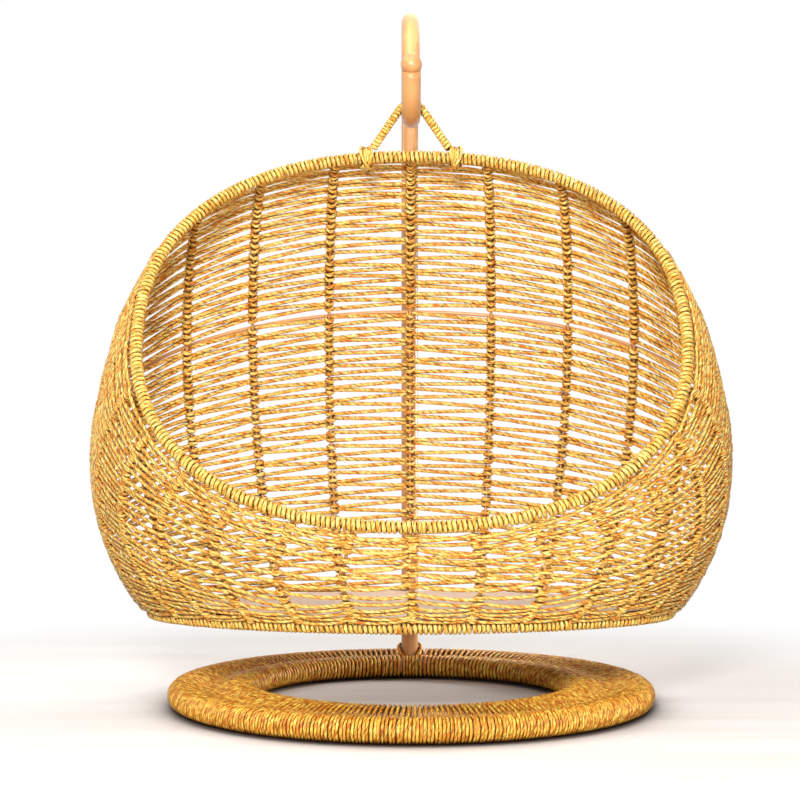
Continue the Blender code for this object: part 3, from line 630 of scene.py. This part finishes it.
def rows_at(number):
    """How many cords cross a rib, from its length and the pitch there."""
    turn = abs(rib_turn(number))
    side = math.sin(turn) ** 2
    end = BACK_PITCH if math.cos(turn) > 0 else FRONT_PITCH
    pitch = end + (SIDE_PITCH - end) * side
    _, length = rib_table(number)
    return (length[-1] - 2 * WRAP_RADIUS) / pitch


HALF_RIBS = RIB_COUNT // 2
ROW_COUNTS = np.array([rows_at(n) for n in range(HALF_RIBS + 1)])
ROW_COUNTS = np.minimum.accumulate(ROW_COUNTS)
BACK_ROWS = int(round(ROW_COUNTS[0]))
GOLDEN = (math.sqrt(5) - 1) / 2
ROW_RANKS = (np.arange(BACK_ROWS) * GOLDEN) % 1
ROW_WIDTHS = 1 + ROW_UNEVENNESS * RANDOM.uniform(-1, 1, BACK_ROWS)


def rows_present(number):
    """Which rows cross a rib. A row ends at the last rib that it crosses."""
    share = ROW_COUNTS[min(abs(number), RIB_COUNT - abs(number))] / ROW_COUNTS[0]
    return ROW_RANKS < share


def at_front(number):
    """0 at the ribs of the back and sides, growing to 1 at those of the front."""
    return min(max((abs(number) - FRONT_START) / FRONT_RIBS, 0), 1)


def row_places():
    """For each rib from one side of the front round the back to the other: each row's share, or nan."""
    places = {}
    for number in range(-HALF_RIBS, HALF_RIBS + 1):
        present = rows_present(number)
        widths = np.where(present, ROW_WIDTHS, 0)
        down = np.cumsum(widths) / widths.sum()
        loose = np.exp(-(((down - FRONT_SPREAD_PLACE) / FRONT_SPREAD_WIDTH) ** 2))
        widths = widths * (1 + FRONT_SPREAD * at_front(number) * loose)
        middle = (np.cumsum(widths) - widths / 2) / widths.sum()
        shares, length = rib_table(number)
        edge = WRAP_RADIUS + WEAVE_RADIUS
        at = edge + middle * (length[-1] - 2 * edge)
        if abs(number) <= HOOP_END:
            past = at - np.interp(HOOP_PLACE, shares, length) + HOOP_GAP_RISE
            at = at + np.sign(past) * HOOP_GAP / 2 * np.exp(-np.abs(past) / HOOP_GAP_FADE)
        pitch = (length[-1] - 2 * edge) / widths.sum()
        room = np.clip(widths * pitch - 2 * WEAVE_RADIUS, 0.002, None)
        jitter = np.random.default_rng(100 + number % RIB_COUNT).uniform(-1, 1, BACK_ROWS)
        share = np.interp(at + ROW_JITTER * room * jitter, length, shares)
        places[number] = (np.where(present, share, np.nan), pitch)
    return places


KNOT_RADIUS = RIB_RADIUS + WEAVE_RADIUS
KNOT_ANGLES = np.radians(np.arange(30, 511, 40))  # past the rib, once round it, and past it again


def knot(number, share, pitch, flip, rng):
    """One cord's way round one rib: it passes, goes once round and passes again."""
    turn = rib_turn(number)
    centre = wall(turn, share)
    row, out, down = wall_frame(turn, share)
    advance = min(pitch * 0.5, 2 * WEAVE_RADIUS) * flip
    u = -np.cos(KNOT_ANGLES) * KNOT_RADIUS
    n = np.sin(KNOT_ANGLES) * KNOT_RADIUS
    turns = (KNOT_ANGLES - 1.5 * np.pi) / (2 * np.pi)
    v = advance * np.clip(turns, -0.5, 0.5) + KNOT_SAG * np.clip(-np.sin(KNOT_ANGLES), 0, 1)
    slack = 1 + KNOT_SLACK * rng.uniform(-1, 1)
    return centre + slack * (u[:, None] * row + n[:, None] * out) + v[:, None] * down


def cell(number, start, end, share_a, share_b, rng):
    """The stretch between two knots: nearly straight, a little bowed with the wall."""
    steps = np.linspace(0, 1, 9)[1:-1, None]
    straight = start * (1 - steps) + end * steps
    turns = rib_turn(number) * (1 - steps[:, 0]) + rib_turn(number + 1) * steps[:, 0]
    shares = share_a * (1 - steps[:, 0]) + share_b * steps[:, 0]
    surface = wall(turns, shares)
    chord_a, chord_b = wall(rib_turn(number), share_a), wall(rib_turn(number + 1), share_b)
    chord = chord_a * (1 - steps) + chord_b * steps
    bow = (surface - chord) * CELL_BOW
    _, out, down = wall_frame(turns, shares)
    hump = np.sin(np.pi * steps) ** 0.5
    sag = FRONT_SAG * at_front(number + 0.5)
    wander = hump * down * (sag + CELL_WANDER * rng.uniform(-1, 1))
    lift = hump * out * (CELL_LIFT + CELL_LIFT_VARIATION * rng.uniform(-1, 1))
    return straight + bow + wander + lift


def row_path(row, first, last, places):
    """A cord's centre line from its first rib to its last."""
    rng = np.random.default_rng(1000 + row * 31 + first)
    flip = 1 if row % 2 else -1
    parts = []
    for number in range(first, last + 1):
        share, pitch = places[number][0][row], places[number][1]
        parts.append(knot(number, share, pitch, flip, rng))
    path = [parts[0]]
    for i, number in enumerate(range(first, last)):
        share_a, share_b = places[number][0][row], places[number + 1][0][row]
        path.append(cell(number, parts[i][-1], parts[i + 1][0], share_a, share_b, rng))
        path.append(parts[i + 1])
    return np.concatenate(path)


def weave():
    """The wall's cords, split into the panels' pieces at the ribs where the panels meet."""
    places = row_places()
    panels = {
        "weave_back": [(-4, 4)],
        "weave_right": [(4, 9)],
        "weave_left": [(-9, -4)],
        "weave_front": [(9, 13), (-13, -9)],
    }
    for name, spans in panels.items():
        paths = []
        for low, high in spans:
            for row in range(BACK_ROWS):
                here = [n for n in range(low, high + 1) if not np.isnan(places[n][0][row])]
                if len(here) > 1:
                    path = resample(row_path(row, here[0], here[-1], places), CORD_STEP)
                    paths.append((path, (row * GOLDEN) % 1))
        for part, first in enumerate(range(0, len(paths), ROWS_PER_PIECE)):
            build = Build()
            for path, seed in paths[first : first + ROWS_PER_PIECE]:
                loose = np.clip((path[:, 1] - LOOSE_FROM) / (LOOSE_TO - LOOSE_FROM), 0, 1)
                radius = WEAVE_RADIUS + (BACK_WEAVE_RADIUS - WEAVE_RADIUS) * loose
                build.tube(path, radius, plies=True, seed=seed)
            build.finish(f"{name}_cord_{part + 1}", WOVEN, "basket", [name])


# ---------------------------------------------------------------- windings


def winding(points_at, up, radius, pitch, seed):
    """A helix wound round a closed curve, and the way outward at each of its points."""
    points = points_at(np.linspace(0, 2 * np.pi, 720, endpoint=False))
    loop = np.vstack([points, points[:1]])
    length = lengths(loop)
    turns = int(round(length[-1] / pitch))
    rng = np.random.default_rng(seed)
    number = turns * RIM_TURN_POINTS
    share = np.arange(number) / number
    uneven = smooth_noise(turns + 1, 1.0, rng)
    uneven[-1] = uneven[0]
    shift = np.interp(share * turns, np.arange(turns + 1), uneven) * pitch * RIM_UNEVENNESS
    at = (share * length[-1] + shift) % length[-1]
    centre = points_along(at, length, loop)
    tangent = unit(points_along((at + 0.002) % length[-1], length, loop) - centre)
    across = unit(np.cross(np.broadcast_to(up, tangent.shape), tangent))
    rise = np.cross(tangent, across)
    angle = 2 * np.pi * share * turns
    swell = radius * (1 + 0.04 * smooth_noise(number, 9.0, rng))
    ring = across * np.cos(angle)[:, None] + rise * np.sin(angle)[:, None]
    return centre + ring * swell[:, None], ring


def frame_windings():
    rim_up = np.array([0, -math.sin(RIM_SLOPE), math.cos(RIM_SLOPE)])
    reach = FRAME_ROD_RADIUS + CORD_RADIUS
    for name, share, up, seed in (
        ("rim_wrap", 0.0, rim_up, 11),
        ("bottom_ring_wrap", 1.0, np.array([0.0, 0.0, 1.0]), 12),
    ):
        path, out = winding(lambda t, s=share: wall(t, s), up, reach, RIM_PITCH, seed)
        build = Build()
        build.tube(path, CORD_RADIUS, up=out, closed=True, plies=True, seed=0.3, widen=RIM_NARROWING)
        build.finish(name + "_cord", WOUND, "basket", [name])


def stadium_loop(number):
    """The closed section round both base tubes at the cord's middle, as (radius, height)."""
    arc = np.radians(np.linspace(-90, 90, 13))
    outer = np.stack([BASE_OUTER_RADIUS + BASE_REACH * np.cos(arc), BASE_REACH * np.sin(arc)], -1)
    inner = np.stack([BASE_INNER_RADIUS - BASE_REACH * np.cos(arc), -BASE_REACH * np.sin(arc)], -1)
    loop = np.concatenate([outer, inner, outer[:1]])
    length = lengths(loop)
    return points_along(np.linspace(0, length[-1], number, endpoint=False), length, loop)


def on_base(angle, radius, height):
    return np.stack([radius * np.cos(angle), radius * np.sin(angle), BASE_HEIGHT + height], axis=-1)


def base_winding():
    """The cord that goes round both tubes together.

    It is thicker on the inner tube, where no single turns lie between, and thinner and lower between
    the tubes.
    """
    rng = np.random.default_rng(21)
    per_turn = BASE_TURN_POINTS
    section = stadium_loop(per_turn)
    number = BASE_TURNS * per_turn
    part = number // BASE_PIECES
    turns = np.arange(number) / per_turn
    angle = BASE_START + BASE_STEP * turns + 0.0018 * smooth_noise(number, per_turn * 0.7, rng)
    index = np.arange(number) % per_turn
    height = section[index, 1] + 0.0005 * smooth_noise(number, per_turn * 0.4, rng)
    radius = section[index, 0]
    ahead = np.roll(section, -1, 0) - np.roll(section, 1, 0)
    away = unit(np.stack([ahead[:, 1], -ahead[:, 0]], -1))[index]
    out = np.stack([away[:, 0] * np.cos(angle), away[:, 0] * np.sin(angle), away[:, 1]], -1)
    inside = np.clip((BASE_INNER_RADIUS + 0.01 - radius) / 0.03, 0, 1)
    between = np.clip(1 - np.abs(radius - BASE_MIDDLE) / BASE_MIDDLE_HALF, 0, 1) * (height > 0)
    path = on_base(angle, radius, height - BASE_DIP * np.sin(np.pi / 2 * between) ** 2)
    thickness = CORD_RADIUS * (0.98 + BASE_INNER_THICKENING * inside - BASE_MIDDLE_THINNING * between)
    thickness = thickness * (1 + 0.05 * smooth_noise(number, 40, rng))
    for piece in range(BASE_PIECES):
        here = slice(piece * part, (piece + 1) * part + 1)
        build = Build()
        build.tube(path[here], thickness[here], up=out[here], plies=True, seed=0.6, widen=BASE_NARROWING)
        build.finish(f"base_wrap_cord_{piece + 1}", BASE_WOUND, "stand", ["base_wrap"])


def tube_turn(build, tube_radius, middle, tilt, arc, rng):
    """One turn of cord round one base tube, over an arc of the tube's section."""
    first, last = arc
    around = np.radians(np.linspace(first, last, max(8, int(abs(last - first) / 9))))
    radius = tube_radius + BASE_REACH * np.cos(around)
    height = (BASE_REACH + 0.0002) * np.sin(around)
    angle = middle + tilt * np.linspace(-0.5, 0.5, len(around))
    out = np.stack([np.cos(around) * np.cos(angle), np.cos(around) * np.sin(angle), np.sin(around)], -1)
    path = on_base(angle, radius, height)
    thickness = CORD_RADIUS * rng.uniform(0.95, 1.03)
    build.tube(path, thickness, up=out, plies=True, seed=rng.uniform(0, 1), widen=BASE_NARROWING)


def base_single_turns():
    """The turns on one tube alone: on the outer one between the others, and on both at the pole."""
    build = Build()
    rng = np.random.default_rng(22)
    for i in range(BASE_TURNS - 1):
        middle = BASE_START + BASE_STEP * (i + SINGLE_TURN_PLACE) + 0.0014 * rng.uniform(-1, 1)
        tube_turn(build, BASE_OUTER_RADIUS, middle, BASE_STEP * SINGLE_TURN_TILT, SINGLE_TURN_ARC, rng)
    width = 2 * CORD_RADIUS * BASE_NARROWING * 1.04
    for tube_radius, arc in ((BASE_OUTER_RADIUS, POLE_OUTER_ARC), (BASE_INNER_RADIUS, POLE_INNER_ARC)):
        half = int(POLE_SLOT * tube_radius / width)
        for i in range(-half, half + 1):
            middle = math.pi / 2 + i * width / tube_radius
            tube_turn(build, tube_radius, middle, 0.0, arc, rng)
    build.finish("base_single_turns", BASE_WOUND, "stand")


def pole_foot_cord():
    """Two strands that rise from the base, pass behind the pole's foot and go down again."""
    build = Build()
    for i, (reach, rise) in enumerate(POLE_FOOT_STRANDS):
        sweep = np.radians(np.linspace(-62, 242, 40))
        climb = np.sin(np.linspace(0, np.pi, 40)) ** 0.6
        x = reach * np.cos(sweep)
        y = POLE_Y + reach * np.sin(sweep)
        z = BASE_HEIGHT + 0.010 + rise * climb
        build.tube(np.stack([x, y, z], -1), CORD_RADIUS * 0.95, plies=True, seed=0.2 + 0.3 * i)
    build.finish("pole_foot_cord", BASE_WOUND, "stand")


# ---------------------------------------------------------------- steel


def trace(point, heading, moves, step):
    """Points in the YZ plane of a bent tube: (length, 0) is straight, (radius, turn) is a bend."""
    points = [np.array(point, float)]
    for size, turn in moves:
        here = points[-1]
        if turn == 0:
            number = max(2, int(size / step))
            way = np.array([0, -math.sin(heading), math.cos(heading)])
            points += [here + way * size * i / number for i in range(1, number + 1)]
            continue
        sign = math.copysign(1, turn)
        centre = here + size * sign * np.array([0, -math.cos(heading), -math.sin(heading)])
        number = max(4, int(abs(turn) * size / step))
        for i in range(1, number + 1):
            now = heading + turn * i / number
            points.append(centre - size * sign * np.array([0, -math.cos(now), -math.sin(now)]))
        heading += turn
    return np.array(points), heading


def pole_path():
    foot_shift = FOOT_BEND_RADIUS * (1 - math.cos(POLE_LEAN))
    span = POLE_Y + foot_shift - HANG_Y - HOOK_RADIUS
    arch_radius = span / (1 + math.cos(POLE_LEAN))
    top = HOOK_HEIGHT + HOOK_RADIUS + HOOK_DROP + arch_radius
    bow_height = top - arch_radius * (1 - math.sin(POLE_LEAN)) - POLE_FOOT_Z - FOOT_LENGTH
    bow_height -= FOOT_BEND_RADIUS * math.sin(POLE_LEAN)
    bow_radius = bow_height / (2 * math.sin(POLE_LEAN))
    moves = [
        (FOOT_LENGTH, 0),
        (FOOT_BEND_RADIUS, -POLE_LEAN),
        (bow_radius, POLE_LEAN),
        (bow_radius, POLE_LEAN),
        (arch_radius, math.pi - POLE_LEAN),
        (HOOK_DROP, 0),
        (HOOK_RADIUS, -HOOK_SWEEP),
        (HOOK_TIP_LENGTH, 0),
    ]
    return trace((0, POLE_Y, POLE_FOOT_Z), 0.0, moves, POLE_STEP)


def pole():
    path, heading = pole_path()
    build = Build()
    build.tube(path, POLE_RADIUS, sides=ROUND_SIDES, up=(1, 0, 0))
    build.finish("pole_tube", PAINT, "stand", ["pole"])
    tip = path[-1]
    along = np.array([0, -math.sin(heading), math.cos(heading)])
    flat = math.acos(POLE_RADIUS * CAP_EDGE / CAP_RADIUS)
    rise = CAP_RADIUS * math.sin(flat)
    angles = np.linspace(-flat, math.radians(88), 22)
    radii = CAP_RADIUS * np.cos(angles)
    places = CAP_GAP + rise + CAP_RADIUS * np.sin(angles)
    radii = np.concatenate([[POLE_RADIUS * share for share, _ in CAP_NECK], radii])
    places = np.concatenate([[place for _, place in CAP_NECK], places])
    build = Build()
    build.tube(tip + along * places[:, None], radii, sides=ROUND_SIDES, up=(1, 0, 0))
    build.finish("hook_cap", PAINT, "stand", ["hook_end_cap"])


def ribs():
    for number in range(RIB_COUNT):
        shares, length = rib_table(number)
        at = np.linspace(WRAP_RADIUS * RIB_END, length[-1] - WRAP_RADIUS * RIB_END, 48)
        path = wall(rib_turn(number), np.interp(at, length, shares))
        build = Build()
        build.tube(path, RIB_RADIUS, sides=10)
        node = f"rib_{number + 1:02d}"
        build.finish(node + "_rod", RIB_PAINT, "basket", [node])


def hoop():
    """The plain rod across the outside of the back."""
    turns = rib_turn(np.linspace(-HOOP_END, HOOP_END, 160))
    _, out, _ = wall_frame(turns, HOOP_PLACE)
    path = wall(turns, HOOP_PLACE) + out * HOOP_LIFT
    build = Build()
    build.tube(path, HOOP_RADIUS, sides=12)
    build.finish("hoop_rod", PAINT, "basket", ["mid_hoop"])


def seat():
    """The board with its edge rounded over."""
    source = frame["nodes"]["seat_board"]
    made = put("seat_panel", source.data.copy())
    made.data.materials.clear()
    made.data.materials.append(BOARD)
    weld = made.modifiers.new("weld", "WELD")
    weld.merge_threshold = 0.00002
    edge = made.modifiers.new("edge", "BEVEL")
    edge.width = BOARD_EDGE
    edge.segments = 3
    edge.limit_method = "ANGLE"
    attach(made, "basket")
    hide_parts("seat_board")


# ---------------------------------------------------------------- bail


def bail_foot(side):
    """The rim's centre point where a leg of the bail is lashed, and the rim's direction there."""
    a, b = wall(rib_turn(np.array([0.5, 1.0])), 0.0)
    point = a + (b - a) * (BAIL_FOOT_STATION - 1)
    return point * (side, 1, 1), unit(b - a) * (side, 1, 1)


def bail_line():
    """The bail's centre line from its right foot over the hook's tube to its left foot."""
    foot, _ = bail_foot(1)
    hook = np.array([0.0, foot[1], HOOK_HEIGHT])
    reach = foot - hook
    far = np.linalg.norm(reach)
    touch = math.atan2(reach[2], reach[0]) + math.acos(BAIL_SADDLE / far)
    top = hook + BAIL_SADDLE * np.array([math.cos(touch), 0, math.sin(touch)])
    leg = unit(foot - top)
    end = foot - leg * BAIL_LEG_END
    right = [end + (top - end) * s for s in np.linspace(0, 1, 24)]
    turns = np.linspace(touch, math.pi - touch, 24)[1:-1]
    arc = [hook + BAIL_SADDLE * np.array([math.cos(t), 0, math.sin(t)]) for t in turns]
    left = [np.array([-p[0], p[1], p[2]]) for p in right[::-1]]
    return np.array(right + arc + left)


def bail():
    path = resample(bail_line(), BAIL_STEP)
    tangent = unit(np.gradient(path, axis=0))
    across, rise = frames(tangent, (0, 1, 0), False)
    cord = (BAIL_RADIUS - BAIL_ROD_RADIUS) / 2
    total = BAIL_STEP * (len(path) - 1)
    pitch = 2 * cord * BAIL_TURN_WIDTH
    fine = np.linspace(0, len(path) - 1, int(total / pitch * 12))
    index = np.arange(len(path))
    centre, across, rise = [points_along(fine, index, values) for values in (path, across, rise)]
    turn = 2 * np.pi * (fine / (len(path) - 1) * total) / pitch
    ring = across * np.cos(turn)[:, None] + rise * np.sin(turn)[:, None]
    helix = centre + ring * (BAIL_ROD_RADIUS + cord)
    build = Build()
    out = unit(helix - centre)
    build.tube(helix, cord * 1.03, up=out, plies=True, seed=0.1, widen=BAIL_TURN_WIDTH)
    build.finish("bail_cord", WOUND, "bail", ["bail_wrap_right", "bail_wrap_left"])
    for side, word in ((1, "right"), (-1, "left")):
        lashing(side, word)


def lashing(side, word):
    """Turns of cord round the rim at a foot of the bail, and two loops that cross over them."""
    foot, tangent = bail_foot(side)
    up = np.array([0, -math.sin(RIM_SLOPE), math.cos(RIM_SLOPE)])
    across = unit(np.cross(up, tangent))
    rise = np.cross(tangent, across)
    angle = np.linspace(0, 2 * np.pi * LASHING_TURNS, 14 * LASHING_TURNS)
    reach = np.linspace(-LASHING_HALF_LENGTH, LASHING_HALF_LENGTH, len(angle))
    path = foot + tangent * reach[:, None]
    path = path + (across * np.cos(angle)[:, None] + rise * np.sin(angle)[:, None]) * LASHING_RADIUS
    build = Build()
    build.tube(path, LASHING_CORD_RADIUS, plies=True, seed=0.45 + side * 0.1)
    angle = np.linspace(0, 2 * np.pi, 32, endpoint=False)
    ring = across * np.cos(angle)[:, None] + rise * np.sin(angle)[:, None]
    for slant in (-1, 1):
        reach = slant * LASHING_CROSSING * np.sin(angle)
        out = LASHING_RADIUS + LASHING_LOOP_LIFT + LASHING_LOOP_GAP * slant
        path = foot + tangent * reach[:, None] + ring * out
        build.tube(path, LASHING_LOOP_CORD_RADIUS, closed=True, plies=True, seed=0.7 + slant * 0.1)
    build.finish(f"lashing_{word}", WOUND, "bail", [f"bail_lashing_{word}"])


# ---------------------------------------------------------------- other nodes


def dress_kept_nodes():
    """Finishes for the pieces that keep the part's own solids."""
    for name, node in frame["nodes"].items():
        material = STEEL if name == "pole_bolt" else PAINT
        for place in node.material_slots:
            place.material = material


# ---------------------------------------------------------------- floor, light, camera


def shown_ray(nodes, links):
    """1 for a ray from the camera, or one that a gloss or glass sends on, and 0 for scattered light."""
    ray = nodes.new("ShaderNodeLightPath").outputs
    seen = math_node(nodes, links, "MAXIMUM", ray["Is Camera Ray"], ray["Is Glossy Ray"])
    return math_node(nodes, links, "MAXIMUM", seen, ray["Is Transmission Ray"])


def growing(nodes, links, value, edges, most):
    """0 up to the first edge, growing smoothly to most at the second."""
    made = nodes.new("ShaderNodeMapRange")
    made.interpolation_type = "SMOOTHSTEP"
    made.inputs["From Min"].default_value, made.inputs["From Max"].default_value = edges
    made.inputs["To Max"].default_value = most
    links.new(value, made.inputs["Value"])
    return made.outputs[0]


def floor():
    """A pale floor that takes the chair's shadow and fades to white away from it. Near the chair it has a
    painted contact shadow, and its painted glow for the camera grows away from the chair.
    """
    mesh = bpy.data.meshes.new("floor")
    half = FLOOR_HALF
    corners = [(-half, -half, 0), (half, -half, 0), (half, half, 0), (-half, half, 0)]
    mesh.from_pydata(corners, [], [(0, 1, 2, 3)])
    made = put("floor", mesh)
    made.location.z = -0.0002
    material, nodes, links, shader = new_material("pale_floor")
    where = nodes.new("ShaderNodeTexCoord").outputs["Object"]
    grain = noise_node(nodes, links, stretched(nodes, links, where, (0.5, 7.0, 1.0)), 1.0, 5.0, 0.6)
    colour = ramp_node(nodes, links, grain, [(0.35, srgb(214, 204, 196)), (0.62, srgb(228, 222, 217))])
    seen = shown_ray(nodes, links)
    colour = mix_colour(nodes, links, seen, srgb(160, 146, 126), colour)
    # Painted contact shadow where the chair stands close
    colour = shaded(nodes, links, colour, srgb(64, 42, 30), 0.07, -2.4, 2.1)
    links.new(colour, shader.inputs["Base Color"])
    shader.inputs["Roughness"].default_value = 0.8
    far = nodes.new("ShaderNodeVectorMath")
    far.operation = "LENGTH"
    links.new(where, far.inputs[0])
    fade = growing(nodes, links, far.outputs["Value"], FLOOR_FADE, 1.0)
    near = growing(nodes, links, far.outputs["Value"], FLOOR_GLOW_EDGES, FLOOR_GLOW)
    lift = nodes.new("ShaderNodeEmission")
    lift.inputs["Color"].default_value = WARM_WHITE
    # The painted glow is weaker where the chair stands close, and grows with the distance from its middle
    strength = limited(nodes, links, openness(nodes, 0.10), 1.8, -0.75, 1.0)
    strength = math_node(nodes, links, "MULTIPLY", strength, near)
    links.new(math_node(nodes, links, "MULTIPLY", seen, strength), lift.inputs["Strength"])
    lit = nodes.new("ShaderNodeAddShader")
    links.new(shader.outputs[0], lit.inputs[0])
    links.new(lift.outputs[0], lit.inputs[1])
    white = nodes.new("ShaderNodeEmission")
    mix = nodes.new("ShaderNodeMixShader")
    links.new(math_node(nodes, links, "MULTIPLY", seen, fade), mix.inputs[0])
    links.new(lit.outputs[0], mix.inputs[1])
    links.new(white.outputs[0], mix.inputs[2])
    links.new(mix.outputs[0], nodes["Material Output"].inputs["Surface"])
    mesh.materials.append(material)


def world():
    made = bpy.data.worlds.new("studio")
    bpy.context.scene.world = made
    made.use_nodes = True
    nodes, links = made.node_tree.nodes, made.node_tree.links
    background = nodes["Background"]
    background.inputs["Color"].default_value = WARM_WHITE
    background.inputs["Strength"].default_value = 0.27
    white = nodes.new("ShaderNodeBackground")
    white.inputs["Color"].default_value = (1, 1, 1, 1)
    white.inputs["Strength"].default_value = 1.0
    mix = nodes.new("ShaderNodeMixShader")
    links.new(shown_ray(nodes, links), mix.inputs[0])
    links.new(background.outputs[0], mix.inputs[1])
    links.new(white.outputs[0], mix.inputs[2])
    links.new(mix.outputs[0], nodes["World Output"].inputs[0])


def lamp(name, place, aim, size, power, spread=math.pi):
    data = bpy.data.lights.new(name, "AREA")
    data.shape = "DISK"
    data.size = size
    data.energy = power
    data.spread = spread
    made = put(name, data)
    made.location = place
    way = np.array(aim, float) - np.array(place, float)
    flat = math.hypot(way[0], way[1])
    made.rotation_euler = (math.atan2(flat, -way[2]), 0, math.atan2(-way[0], way[1]))


def lights():
    lamp("key", (-0.5, -4.0, 1.9), (0, 0, 0.7), 1.0, 180)
    lamp("top", (-0.3, -1.0, 3.5), (0, 0, 0.7), 1.4, 16)
    lamp("fill", (1.6, -3.6, 0.45), (0, 0, 0.4), 1.2, 44)
    lamp("left_edge", (-2.8, 0.9, 1.6), (0, 0.2, 1.3), 0.5, 7)
    lamp("back", (0.4, 2.6, 2.8), (0, 0.2, 0.7), 1.8, 10)
    lamp("arch", (0.2, -2.2, 2.7), (0, 0.2, 1.75), 0.4, 1.0, math.radians(16))
    lamp("pole_side", (2.0, 1.2, 1.0), (0, 0.5, 0.4), 0.6, 3.5, math.radians(36))


def camera():
    data = bpy.data.cameras.new("camera")
    data.lens = CAMERA_LENS
    data.sensor_width = 36.0
    data.shift_y = CAMERA_SHIFT_Y
    made = put("camera", data)
    made.location = CAMERA_PLACE
    made.rotation_euler = (math.pi / 2, 0, 0)
    bpy.context.scene.camera = made


# ---------------------------------------------------------------- chair

camera()
floor()
world()
lights()
dress_kept_nodes()
weave()
frame_windings()
base_winding()
base_single_turns()
pole_foot_cord()
pole()
ribs()
hoop()
seat()
bail()
bpy.context.scene.view_settings.view_transform = "Standard"
